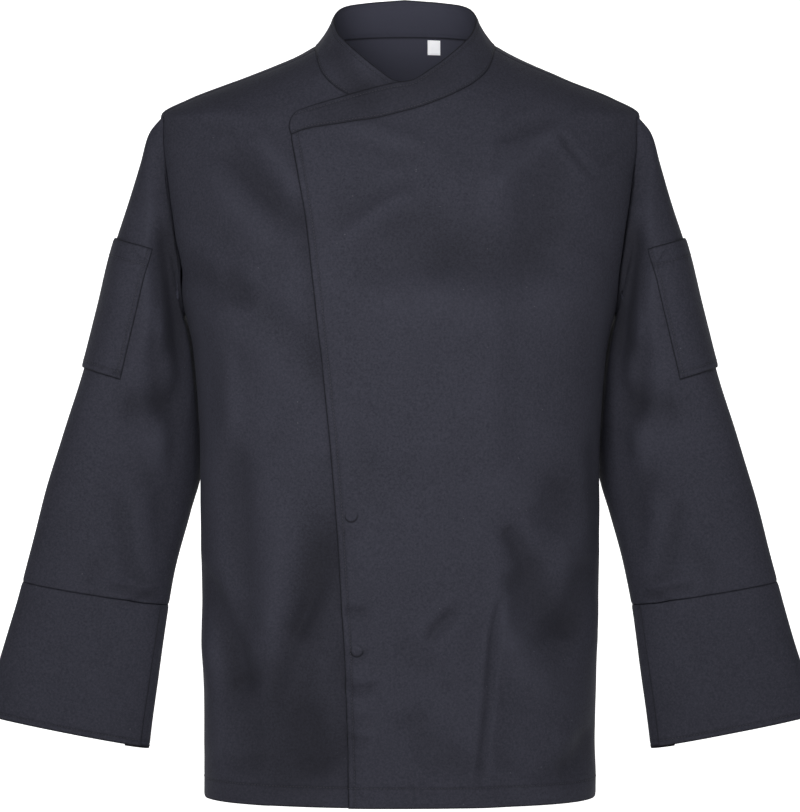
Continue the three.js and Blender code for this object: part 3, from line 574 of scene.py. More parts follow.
def body_cloth(level, angle, lift):
    """The outside of the body's cloth: the section, pushed out by the lift and in by creases."""
    point = body_point(level, angle)
    middle = middle_at(level)
    depth = crease_depth(BODY_CREASES, point, middle, BODY_FADE)
    depth += crease_depth(FINE_BODY_CREASES, point, middle, BODY_FADE)
    depth += 0.9 * waviness(point, 130.0, 11) + 0.35 * waviness(point, 46.0, 12)
    return point + body_normal(level, angle) * (lift(point) - depth)[..., None]


def top_height(x):
    known = np.isnan(COLLAR_TOP["y"])
    order = np.argsort(COLLAR_TOP["x"][known])
    return np.interp(x, COLLAR_TOP["x"][known][order], COLLAR_TOP["z"][known][order])


def over_lift(point):
    """The crossing front's stand-off: full over the under front, none beyond its edges."""
    x, z = point[..., 0], point[..., 2]
    past = x - under_edge(z)
    above = np.where(x > 0, z - top_height(-x), past)
    return OVER_LIFT * (1.0 - smooth(np.maximum(past, above) / LIFT_FADE))


def no_lift(point):
    return np.zeros(point.shape[:-1])


def ticks(pitch, *runs):
    """Shares from 0 to 1 over runs of (share, millimetres): a pitch apart, closer at both ends."""
    done, parts = 0.0, []
    for i, (share, length) in enumerate(runs):
        low = CROWD if i == 0 else np.zeros(1)
        high = length - (CROWD[::-1] if i == len(runs) - 1 else np.zeros(1))
        steps = max(2, round((high[0] - low[-1]) / pitch))
        inner = np.linspace(low[-1], high[0], steps + 1)[1:-1]
        last = high[:-1] if i < len(runs) - 1 else high
        parts.append(done + share * np.concatenate([low, inner, last]) / length)
        done += share
    return np.concatenate(parts)


def row_level(share):
    """The side's level at a share of the panel's rows, with the armpit in its own row."""
    low = mix(HEM_LEVEL, ARMPIT_LEVEL, share / ARMPIT_ROW)
    high = mix(ARMPIT_LEVEL, SHOULDER_LEVEL, (share - ARMPIT_ROW) / (1 - ARMPIT_ROW))
    return np.where(share <= ARMPIT_ROW, low, high)


def side_place(share, armhole):
    level = row_level(share)
    y = np.where(level <= ARMPIT_LEVEL, 0.0, armhole(level))
    return level, angle_of_y(level, y)


def shoulder_place(share):
    level = SHOULDER_LEVEL * share
    return level, angle_of_y(level, middle_at(level) - SHOULDER_SEAM_FORWARD)


def fill(left, right, bottom, top, rows, columns, from_back):
    """A Coons patch on the flat pattern: the sum of both ways across less the corners' blend.
    Edges are (level, angle) pairs of arrays; so is the result."""
    edges = (left, right, bottom, top)
    left, right, bottom, top = [np.stack([arc_of(*e, from_back), e[0]], axis=-1) for e in edges]
    u, v = columns[None, :, None], rows[:, None, None]
    across = mix(left[:, None], right[:, None], u)
    upward = mix(bottom[None], top[None], v)
    corners = mix(mix(bottom[0], bottom[-1], u), mix(top[0], top[-1], u), v)
    place = across + upward - corners
    level = np.minimum(0.0, place[..., 1])
    return level, angle_of(level, place[..., 0], from_back)


def neck_place(along):
    """A place of the front neck seam, which starts exactly at the shoulder seam's neck end."""
    level, angle = front_place(seam_x(along), seam_z(along))
    first_level, first_angle = front_place(seam_x(SHOULDER_ALONG), seam_z(SHOULDER_ALONG))
    start_level, start_angle = shoulder_place(np.array(0.0))
    near = np.clip(1.0 - (along - SHOULDER_ALONG) / 0.0525, 0.0, 1.0)
    return level + near * (start_level - first_level), angle + near * (start_angle - first_angle)


def hem_place(first, last, shares, from_back):
    arcs = [arc_of(HEM_LEVEL, end, from_back) for end in (first, last)]
    level = np.full(shares.shape, HEM_LEVEL)
    return level, angle_of(level, mix(arcs[0], arcs[1], shares), from_back)


def front_panel(edge_x, end_along, rows, columns):
    """A front, from its free edge to the side seam, as levels and angles at +X."""
    on_neck = np.clip(columns / NECK_COLUMN, 0.0, 1.0)
    neck = neck_place(mix(end_along, SHOULDER_ALONG, on_neck))
    shoulder = shoulder_place(np.clip((columns - NECK_COLUMN) / (1 - NECK_COLUMN), 0.0, 1.0))
    top = [np.where(columns <= NECK_COLUMN, n, s) for n, s in zip(neck, shoulder)]
    above = np.clip((rows - ARMPIT_ROW) / (1 - ARMPIT_ROW), 0.0, 1.0)
    height = np.where(rows <= ARMPIT_ROW, row_level(rows), mix(ARMPIT_LEVEL, top[0][0], above))
    edge = (height, angle_of_x(height, edge_x(height)))
    side = side_place(rows, armhole_front)
    hem = hem_place(edge[1][0], side[1][0], columns, False)
    return fill(edge, side, hem, top, rows, columns, False)


def back_panel(rows, columns):
    """The back, from the +X side seam to the other, as levels and angles."""
    from_tip = np.minimum(columns, 1.0 - columns)
    level, angle = shoulder_place(1.0 - np.clip(from_tip / TIP_COLUMN, 0.0, 1.0))
    neck_angle = shoulder_place(np.array(0.0))[1]
    turned = mix(neck_angle, 360.0 - neck_angle, (columns - TIP_COLUMN) / (1 - 2 * TIP_COLUMN))
    turned = np.where(turned > 180.0, turned - 360.0, turned)
    on_neck = from_tip >= TIP_COLUMN
    angle = np.where(columns > 0.5, -angle, angle)
    top = (np.where(on_neck, 0.0, level), np.where(on_neck, turned, angle))
    side = side_place(rows, armhole_back)
    other = (side[0], -side[1])
    hem = hem_place(side[1][0], other[1][0], columns, True)
    return fill(side, other, hem, top, rows, columns, True)


def body_y(x, z):
    level, angle = front_place(x, z)
    return body_point(level, angle)[..., 1]


TOP_DEPTH = dict(COLLAR_TOP)
on_body = np.isnan(COLLAR_TOP["y"])
TOP_DEPTH["y"] = np.where(on_body, body_y(COLLAR_TOP["x"], COLLAR_TOP["z"]), COLLAR_TOP["y"])
top_y = curve(TOP_DEPTH, "along", "y")


def collar_points(signed, shares):
    """The collar: at each place along it a line from the neck seam to the top edge, bowed
    inwards where it stands. Places with a negative sign lie on the -X half."""
    along = np.abs(signed)
    start_angle = shoulder_place(np.array(0.0))[1]
    level, angle = neck_place(np.maximum(along, SHOULDER_ALONG))
    behind = along < SHOULDER_ALONG
    level = np.where(behind, 0.0, level)
    angle = np.where(behind, mix(180.0, start_angle, along / SHOULDER_ALONG), angle)
    crossing = signed > 0
    side = np.where(crossing, 1.0, -1.0)
    seam = body_cloth(level, angle * side, lambda point: np.where(crossing, over_lift(point), 0.0))
    seam[..., 0] *= side
    top = np.stack([top_x(along), top_y(along), top_z(along)], axis=-1)
    normal = body_normal(level, angle)
    normal[..., 2] = 0.0
    normal = unit(normal)
    top = top + normal * np.where(crossing, over_lift(top), 0.0)[..., None]
    standing = 1.0 - smooth((along - 0.42) / 0.2)
    ending = smooth((along - 0.93) / 0.07)
    share = shares[:, None, None]
    bow = 4.0 * share * (1.0 - share)
    inward = COLLAR_HOLLOW * bow * (normal * standing[..., None])[None]
    points = mix(seam[None], top[None], share) - inward
    points[..., 0] -= COLLAR_END_ROUND * ending * bow[..., 0]
    points[..., 0] *= side
    return points


sleeve_columns = "outer_x outer_z inner_x inner_z inner_y front back".split()
SLEEVE_AT = dict(zip(sleeve_columns, curves(SLEEVE, "along", *sleeve_columns)))


def bent(value):
    return np.sign(value) * np.abs(value) ** (2.0 / SLEEVE_POWER)


def sleeve_section(along, angle):
    """The sleeve's own section, a squared ellipse: 0 at the outer edge, 90 in front."""
    along, angle = np.broadcast_arrays(along, angle)
    s = {name: at(along) for name, at in SLEEVE_AT.items()}
    inner = np.stack([s["inner_x"], s["inner_y"], s["inner_z"]], axis=-1)
    outer = np.stack([s["outer_x"], SLEEVE_OUTER_Y - SLEEVE_FORWARD * along, s["outer_z"]], axis=-1)
    turn = np.radians(angle)
    point = mix(inner, outer, (1.0 + bent(np.cos(turn)))[..., None] / 2.0)
    ahead = bent(np.sin(turn))
    point[..., 1] -= ahead * np.where(ahead > 0, s["front"], s["back"])
    return point


def sleeve_middle(along):
    return (sleeve_section(along, 0.0) + sleeve_section(along, 180.0)) / 2.0


def sleeve_surface(side, creased=True):
    """A sleeve as a function of along and column (24 round it, from its inner edge over the
    front): its section, bent into the armhole's own outline where it is sewn in, pushed in by
    creases and kept clear of the body. Both sleeves are described at +X."""
    inner = sleeve_section(0.0, 180.0)
    line = sleeve_section(0.0, 0.0) - inner

    def surface(along, column):
        along, column = np.broadcast_arrays(along, np.mod(column, 24.0))
        ahead = column <= 12.0
        share = np.where(ahead, column, 24.0 - column) / 12.0
        level = mix(ARMPIT_LEVEL, SHOULDER_LEVEL, share)
        y = np.where(ahead, armhole_front(level), armhole_back(level))
        start = body_cloth(level, side * angle_of_y(level, np.where(share <= 0, 0.0, y)), no_lift)
        start[..., 0] *= side
        reached = np.clip((start - inner) @ line / (line @ line), 0.0, 1.0)
        cosine = np.sign(2 * reached - 1) * np.abs(2 * reached - 1) ** (SLEEVE_POWER / 2)
        turn = np.degrees(np.arccos(cosine))
        first = np.where(share <= 0, 180.0, turn) * np.where(ahead, 1.0, -1.0)
        offset = start - sleeve_section(0.0, first)
        blend = smooth(along / ARMHOLE_BLEND)
        angle = mix(first, 180.0 - 15.0 * column, blend)
        point = sleeve_section(along, angle) + offset * (1.0 - blend)[..., None]
        radial = unit(point - sleeve_middle(along))
        settled = smooth(along / 0.05)
        if creased:
            depth = crease_depth(SLEEVE_CREASES, point, 0.0, SLEEVE_FADE)
            depth += settled * crease_depth(FINE_SLEEVE_CREASES, point, 0.0, SLEEVE_FADE)
            depth += settled * 0.8 * waviness(point, 90.0, 21 + side)
            point = point - radial * depth[..., None]
        clear = half_width(point[..., 2], point[..., 1]) + SLEEVE_CLEARANCE * smooth(along / 0.035)
        point[..., 0] = np.where(along > 0, np.maximum(point[..., 0], clear), point[..., 0])
        return point

    return surface


def cuff_points(surface, rows, columns):
    """A cuff: the sleeve's rings past the wrist seam, its front end lifted over its back end."""
    column = mix(2.0, 27.0, columns)[None, :]
    share = 1.0 - rows[:, None]
    end = CUFF_END + CUFF_DROP * smooth(column / 6.0 - 3.0)
    along = mix(CUFF_START + 0.0012, end, share)
    point = surface(along, column)
    radial = unit(point - sleeve_middle(along))
    return point + radial * (CUFF_LIFT * (1.0 - smooth((column - 2.0) / 4.0)))[..., None]


def pocket_points(surface, plain, rows, columns):
    """A pocket: a rectangle laid round the sleeve square to its axis from a straight front edge,
    measured on the plain sleeve, and half as creased as the sleeve under it."""
    tip = sleeve_section(0.0, 0.0)
    axis = sleeve_section(1.0, 0.0) - tip
    axis[1] = 0.0
    axis = unit(axis)

    def along_at(distance, column):
        low, high = np.full(column.shape, 0.02), np.full(column.shape, 0.9)
        for _ in range(16):
            middle = (low + high) / 2.0
            short = (plain(middle, column) - tip) @ axis < distance
            low, high = np.where(short, middle, low), np.where(short, high, middle)
        return low

    down = (1.0 - rows)[:, None]
    distance = POCKET_TOP + POCKET_LENGTH * down
    column = np.broadcast_to(np.linspace(4.0, 20.0, 65)[None, :], (len(rows), 65))
    points = plain(along_at(distance, column), column)
    edges = mix(*POCKET_FRONT_EDGE, down[:, 0])
    wanted = []
    for x, arcs, edge in zip(points[..., 0], run_across(points), edges):
        start = np.interp(edge, x[:33], arcs[:33])
        wanted.append(np.interp(start + POCKET_WIDTH * columns, arcs, column[0]))
    wanted = np.array(wanted)
    along = along_at(distance, wanted)
    return mix(plain(along, wanted), surface(along, wanted), 0.5)


def label_points(rows, columns):
    level = mix(*LABEL_LEVELS, rows)[:, None]
    x = mix(*LABEL_X, columns)[None, :]
    power, width = power_at(level), width_at(level)
    behind = back_at(level) * (1.0 - (x / width) ** power) ** (1.0 / power)
    angle = np.degrees(np.arctan2(x, -behind))
    level = np.broadcast_to(level, angle.shape)
    return body_point(level, angle) - LABEL_DEPTH * body_normal(level, angle)


def run_across(points, axis=1):
    """Distance along a grid's rows, or up its columns."""
    steps = np.linalg.norm(np.diff(points, axis=axis), axis=-1)
    return np.insert(np.cumsum(steps, axis=axis), 0, 0.0, axis=axis)


def grid_normals(points, wrap):
    """Outward directions of a grid whose rows run up and columns to the right."""
    if wrap:
        across = np.roll(points, -1, axis=1) - np.roll(points, 1, axis=1)
    else:
        across = np.gradient(points, axis=1)
    return unit(np.cross(across, np.gradient(points, axis=0)))


def to_side(points, side):
    """A piece described at +X, moved to the given side with its columns still left to right."""
    return points if side > 0 else (points * np.array([-1.0, 1.0, 1.0]))[:, ::-1]


def lean(points):
    moved = points.copy()
    moved[..., 0] += NECK_LEAN * smooth((points[..., 2] - LEAN_START) / -LEAN_START)
    return moved


def edge_distances(points, wrap):
    """Distances of each grid point from the edges of its piece, in millimetres, by edge."""
    up = run_across(points, 0)
    found = {"bottom": up, "top": up[-1] - up}
    if not wrap:
        across = run_across(points, 1)
        found |= {"left": across, "right": across[:, -1:] - across}
    return found


def edge_of(points, wrap):
    """True for the grid points on the edge of a piece."""
    edge = np.zeros(points.shape[:2], bool)
    edge[[0, -1]] = True
    if not wrap:
        edge[:, [0, -1]] = True
    return edge


def join_seams(pieces):
    """Gives pieces that meet at a seam one common direction there, so that their rims close it:
    at each edge point the sum of its own direction and those of its near neighbours."""
    for piece in pieces:
        piece["normals"] = grid_normals(piece["points"], piece["wrap"])
        piece["edge"] = edge_of(piece["points"], piece["wrap"])
    own = [(piece["points"][piece["edge"]], piece["normals"][piece["edge"]]) for piece in pieces]
    for i, (points, normals) in enumerate(own):
        total = normals.copy()
        for j, (others, other_normals) in enumerate(own):
            if i != j:
                squares = ((points[:, None] - others[None]) ** 2).sum(axis=-1)
                nearest = squares.argmin(axis=1)
                close = squares[np.arange(len(points)), nearest] < SEAM_NEAR
                total += other_normals[nearest] * close[:, None]
        common = unit(total)
        facing = np.maximum((common * normals).sum(axis=-1, keepdims=True), LEAST_FACING)
        pieces[i]["normals"][pieces[i]["edge"]] = common / facing


def strips(index):
    corners = (index[:-1, :-1], index[:-1, 1:], index[1:, 1:], index[1:, :-1])
    return np.stack(corners, axis=-1).reshape(-1, 4)


def new_mesh(name, vertices, quads, material):
    """An object from vertices in millimetres and faces of four corners, at the origin."""
    mesh = bpy.data.meshes.new(name)
    mesh.vertices.add(len(vertices))
    mesh.vertices.foreach_set("co", (vertices * 0.001).astype(np.float32).ravel())
    mesh.loops.add(quads.size)
    mesh.loops.foreach_set("vertex_index", quads.astype(np.int32).ravel())
    mesh.polygons.add(len(quads))
    mesh.polygons.foreach_set("loop_start", np.arange(0, quads.size, 4, dtype=np.int32))
    mesh.update(calc_edges=True)
    mesh.shade_smooth()
    mesh.materials.append(material)
    made = bpy.data.objects.new(name, mesh)
    bpy.context.scene.collection.objects.link(made)
    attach(made, "root")
    return made


def shell(name, piece):
    """A closed piece of cloth: the outside with its edges rolled in, so that seams read as
    shallow valleys, the inside a wall further in, and strips that join their edges. Its UV map
    holds the pattern place in metres. Its attributes are stitched and run, the distance from
    the nearest sewn line and the place along it, shade_depth, the depth that its creases and
    tone tables give, which its colour shows as painted shade and, below nought, as painted
    light, all in millimetres, edge_shade, the painted shade near its edges and seams, and
    reverse, 1 on the inside, which its colour paints lighter."""
    points, normals, wrap = piece["points"], piece["normals"], piece["wrap"]
    rows, columns = points.shape[:2]
    away = edge_distances(points, wrap)
    s = np.minimum.reduce(list(away.values()))[..., None]
    # Painted shade near each edge, strongest at free edges and on inside seams.
    rims = []
    for seam_shade in (SEAM_SHADE, INNER_SEAM_SHADE):
        tones = [FREE_EDGE_SHADE if edge in piece["free"] else seam_shade for edge in away]
        lines = zip(tones, away.values())
        rims.append(np.maximum.reduce([t * np.exp(-((d / EDGE_LINE) ** 2)) for t, d in lines]))
    dip = sum(depth * np.exp(-((s / width) ** 2)) for depth, width in ROLLED_EDGE)
    outside = points - normals * dip
    inside = points - normals * piece["wall"]
    index = np.arange(rows * columns).reshape(rows, columns)
    if wrap:
        index = np.hstack([index, index[:, :1]])
    inner = index + rows * columns
    low, high = index[0], index[-1]
    low_in, high_in = inner[0], inner[-1]
    faces = [
        strips(index),
        strips(inner)[:, ::-1],
        np.stack([low[:-1], low_in[:-1], low_in[1:], low[1:]], axis=-1),
        np.stack([high[:-1], high[1:], high_in[1:], high_in[:-1]], axis=-1),
    ]
    if not wrap:
        left, right, left_in, right_in = index[:, 0], index[:, -1], inner[:, 0], inner[:, -1]
        faces.append(np.stack([left[:-1], left[1:], left_in[1:], left_in[:-1]], axis=-1))
        faces.append(np.stack([right[:-1], right_in[:-1], right_in[1:], right[1:]], axis=-1))
    faces = np.concatenate(faces)
    vertices = np.concatenate([outside.reshape(-1, 3), inside.reshape(-1, 3)])
    made = new_mesh(name, vertices, faces, piece["material"])

    across, up = run_across(points, 1), run_across(points, 0)
    uv = np.stack([across - across[:, columns // 2, None], up], axis=-1) * 0.001
    stitched, run = np.full(across.shape, 99.0), np.zeros(across.shape)
    for distance, along in piece["lines"]:
        closer = np.abs(distance) < np.abs(stitched)
        stitched, run = np.where(closer, distance, stitched), np.where(closer, along, run)
    uv = np.tile(uv.reshape(-1, 2), (2, 1))[faces.ravel()]
    layer = made.data.uv_layers.new(name="pattern")
    layer.data.foreach_set("uv", uv.astype(np.float32).ravel())
    own = {"stitched": stitched, "run": run, "shade_depth": piece["shade_depth"]}
    values = {title: np.tile(value.ravel(), 2) for title, value in own.items()}
    values["edge_shade"] = np.concatenate(rims).ravel()
    values["reverse"] = np.repeat([0.0, 1.0], rows * columns)
    for title, value in values.items():
        store = made.data.attributes.new(title, "FLOAT", "POINT")
        store.data.foreach_set("value", value.astype(np.float32))
    return made


def line_at(points, distance, value, axis, flipped=False):
    """Points and outward directions of the line where a grid's distance has a value; the
    distance grows along the axis."""
    normals = grid_normals(points, False) * (-1.0 if flipped else 1.0)
    if axis == 0:
        points, normals, distance = [np.swapaxes(a, 0, 1) for a in (points, normals, distance)]
    i = np.clip((distance < value).sum(axis=1) - 1, 0, distance.shape[1] - 2)
    r = np.arange(len(i))
    t = (value - distance[r, i]) / (distance[r, i + 1] - distance[r, i])
    t = np.clip(t, 0.0, 1.0)[:, None]
    return mix(points[r, i], points[r, i + 1], t), unit(mix(normals[r, i], normals[r, i + 1], t))


def stitch_row(line, skip=(4.0, 4.0)):
    """Middles, directions and outward directions of stitches a pitch apart along a line."""
    points, normals = line
    run = np.insert(np.cumsum(np.linalg.norm(np.diff(points, axis=0), axis=1)), 0, 0.0)
    count = max(2, int((run[-1] - sum(skip)) / STITCH_PITCH))
    places = np.linspace(skip[0], run[-1] - skip[1], count)

    def at(values, where):
        return np.stack([np.interp(where, run, values[:, k]) for k in range(3)], axis=-1)

    middle = at(points, places)
    forward = unit(at(points, places + 1.0) - at(points, places - 1.0))
    return middle, forward, unit(at(normals, places))


def stitches(name, rows, material):
    """Rows of stitches as one piece. Each is a closed bead: rings of six points whose radius
    swells from the ends, arched so that both ends dive into the cloth."""
    middle, forward, outward = [np.concatenate(parts) for parts in zip(*rows)]
    rng = np.random.default_rng(5)
    count = len(middle)
    sideways = unit(np.cross(forward, outward))
    forward = unit(forward + sideways * rng.normal(0, 0.035, (count, 1)))
    length = STITCH_LENGTH * rng.uniform(0.93, 1.07, (count, 1, 1, 1))
    t = np.array([-0.5, -0.42, -0.2, 0.2, 0.42, 0.5])
    swell = np.array([0.02, 0.62, 1.0, 1.0, 0.62, 0.02])
    rise = STITCH_RADIUS * (0.35 - 6.0 * np.abs(t) ** 2.6)
    turn = np.arange(6) * np.pi / 3.0
    around = STITCH_RADIUS * swell[:, None] * np.stack([np.cos(turn), np.sin(turn)])[:, None, :]
    frame_of = [axis[:, None, None, :] for axis in (forward, outward, sideways)]
    vertices = (
        middle[:, None, None, :]
        + frame_of[0] * (t[:, None, None] * length)
        + frame_of[1] * (rise[:, None, None] + around[0][..., None])
        + frame_of[2] * around[1][..., None]
    )
    ring = np.arange(36).reshape(6, 6)
    ring = np.hstack([ring, ring[:, :1]])
    sides = strips(ring)
    caps = np.array([[0, 1, 2, 3], [0, 3, 4, 5], [33, 32, 31, 30], [35, 34, 33, 30]])
    faces = np.concatenate([sides, caps])
    faces = (faces[None] + 36 * np.arange(count)[:, None, None]).reshape(-1, 4)
    return new_mesh(name, vertices.reshape(-1, 3), faces, material)


# Materials


def node_group(name, inputs, outputs):
    """An empty shader node group with named inputs (name, kind, value) and outputs."""
    group = bpy.data.node_groups.new(name, "ShaderNodeTree")
    new_socket = group.interface.new_socket
    for title, kind, value in inputs:
        socket = new_socket(name=title, in_out="INPUT", socket_type="NodeSocket" + kind)
        if value is not None:
            socket.default_value = value
    for title, kind in outputs:
        new_socket(name=title, in_out="OUTPUT", socket_type="NodeSocket" + kind)
    start = group.nodes.new("NodeGroupInput")
    end = group.nodes.new("NodeGroupOutput")
    return group, start.outputs, end.inputs


def add(tree, kind, inputs=None, **settings):
    """A node with its settings; inputs are values or sockets to link, by name or number."""
    node = tree.nodes.new("ShaderNode" + kind)
    for key, value in settings.items():
        setattr(node, key, value)
    for key, value in (inputs or {}).items():
        if isinstance(value, bpy.types.NodeSocket):
            tree.links.new(value, node.inputs[key])
        else:
            node.inputs[key].default_value = value
    return node


def use(tree, group, inputs):
    return add(tree, "Group", inputs, node_tree=group).outputs


def maths(tree, operation, *values):
    return add(tree, "Math", dict(enumerate(values)), operation=operation).outputs[0]


def bell(tree, value, width=1.0):
    """1 where the value is 0, falling to a third at the width: exp(-(value / width)^2)."""
    share = maths(tree, "DIVIDE", value, width)
    square = maths(tree, "MULTIPLY", share, share)
    return maths(tree, "EXPONENT", maths(tree, "MULTIPLY", square, -1.0))


def ramp(tree, value, start, end, low, high, **settings):
    """Low where the value is at the start, high at the end, and held beyond both."""
    inputs = {0: value, 1: start, 2: end, 3: low, 4: high}
    return add(tree, "MapRange", inputs, **settings).outputs[0]


def noise(tree, place, scale, detail, roughness=0.5, distortion=0.0, kind="FBM"):
    inputs = {"Vector": place, "Scale": scale, "Detail": detail}
    inputs |= {"Roughness": roughness, "Distortion": distortion}
    return add(tree, "TexNoise", inputs, noise_type=kind).outputs[0]


def attribute(tree, name):
    return add(tree, "Attribute", attribute_name=name).outputs["Fac"]


def object_place(tree):
    return add(tree, "TexCoord").outputs["Object"]


def pattern_place(tree):
    return add(tree, "UVMap", uv_map="pattern").outputs[0]


def blend_colour(tree, share, first, second):
    return add(tree, "Mix", {0: share, 6: first, 7: second}, data_type="RGBA").outputs[2]


def twill_group():
    """Fine twill: ribs that run diagonally over a crossed thread pattern."""
    group, given, result = node_group(
        "Fine twill",
        [("Pattern", "Vector", None), ("Threads per metre", "Float", 2400.0)],
        [("Height", "Float"), ("Shade", "Float")],
    )
    parts = add(group, "SeparateXYZ", {0: given["Pattern"]}).outputs
    u = maths(group, "MULTIPLY", parts[0], given["Threads per metre"])
    v = maths(group, "MULTIPLY", parts[1], given["Threads per metre"])
    rib = maths(group, "SINE", maths(group, "MULTIPLY", maths(group, "ADD", u, v), 2.0944))
    warp = maths(group, "SINE", maths(group, "MULTIPLY", u, 6.2832))
    weft = maths(group, "SINE", maths(group, "MULTIPLY", v, 6.2832))
    cross = maths(group, "MULTIPLY", warp, weft)
    group.links.new(maths(group, "MULTIPLY_ADD", cross, 0.35, rib), result["Height"])
    group.links.new(maths(group, "MULTIPLY_ADD", rib, 0.5, 0.5), result["Shade"])
    return group


def sewing_group():
    """The pull of a row of stitches: a groove along it and small puckers that fade beside it."""
    group, given, result = node_group(
        "Sewn line",
        [
            ("Distance", "Float", 99.0),
            ("Run", "Float", 0.0),
            ("Groove", "Float", 1.0),
            ("Pucker", "Float", 0.5),
        ],
        [("Height", "Float"), ("Mask", "Float")],
    )
    groove = bell(group, given["Distance"], 1.6)
    fade = bell(group, given["Distance"], 5.0)
    along = maths(group, "MULTIPLY", given["Run"], 0.11)
    beside = maths(group, "MULTIPLY", given["Distance"], 0.03)
    place = add(group, "CombineXYZ", {0: along, 1: beside}).outputs[0]
    centred = maths(group, "SUBTRACT", noise(group, place, 1.0, 2.0, 0.6), 0.5)
    pucker = maths(group, "MULTIPLY", maths(group, "MULTIPLY", centred, fade), given["Pucker"])
    height = maths(group, "SUBTRACT", pucker, maths(group, "MULTIPLY", groove, given["Groove"]))
    group.links.new(height, result["Height"])
    group.links.new(groove, result["Mask"])
    return group


def lint_group():
    """Scattered specks of lint, a few to the square decimetre and each under a millimetre."""
    group, given, result = node_group(
        "Lint specks",
        [("Place", "Vector", None), ("Scale", "Float", 130.0), ("Share", "Float", 0.06)],
        [("Mask", "Float")],
    )
    cells = add(group, "TexVoronoi", {"Vector": given["Place"], "Scale": given["Scale"]})
    size = maths(group, "LESS_THAN", cells.outputs["Distance"], 0.07)
    pick = add(group, "SeparateXYZ", {0: cells.outputs["Color"]}).outputs[0]
    chosen = maths(group, "LESS_THAN", pick, given["Share"])
    group.links.new(maths(group, "MULTIPLY", size, chosen), result["Mask"])
    return group


def snap_mark_group():
    """Where a snap presses through the cloth: a low round rise, seen from the front at a given x
    and z, and round it a painted shadow, darkest on its lower side."""
    group, given, result = node_group(
        "Snap mark",
        [
            ("Place", "Vector", None),
            ("X", "Float", 0.0),
            ("Z", "Float", 0.0),
            ("Radius", "Float", 0.0055),
        ],
        [("Height", "Float"), ("Rim shadow", "Float")],
    )
    parts = add(group, "SeparateXYZ", {0: given["Place"]}).outputs
    x = maths(group, "SUBTRACT", parts[0], given["X"])
    z = maths(group, "SUBTRACT", parts[2], given["Z"])
    square = maths(group, "ADD", maths(group, "MULTIPLY", x, x), maths(group, "MULTIPLY", z, z))
    away = maths(group, "DIVIDE", maths(group, "SQRT", square), given["Radius"])
    rise = ramp(group, away, 0.8, 1.15, 1.0, 0.0, interpolation_type="SMOOTHSTEP")
    edge_shade = bell(group, maths(group, "SUBTRACT", away, 1.08), 0.16)
    # Painted shadow: the rim is darker on its lower side.
    below = ramp(group, z, -0.003, 0.003, 1.0, 0.1)
    group.links.new(rise, result["Height"])
    group.links.new(maths(group, "MULTIPLY", edge_shade, below), result["Rim shadow"])
    return group


def new_material(name):
    material = bpy.data.materials.new(name)
    material.use_nodes = True
    tree = material.node_tree
    return material, tree, tree.nodes["Principled BSDF"]


def roughen(tree, shader, strength, distance, height):
    """Turns a height into small bumps of the surface."""
    bump = add(tree, "Bump", {"Strength": strength, "Distance": distance, "Height": height})
    tree.links.new(bump.outputs[0], shader.inputs["Normal"])


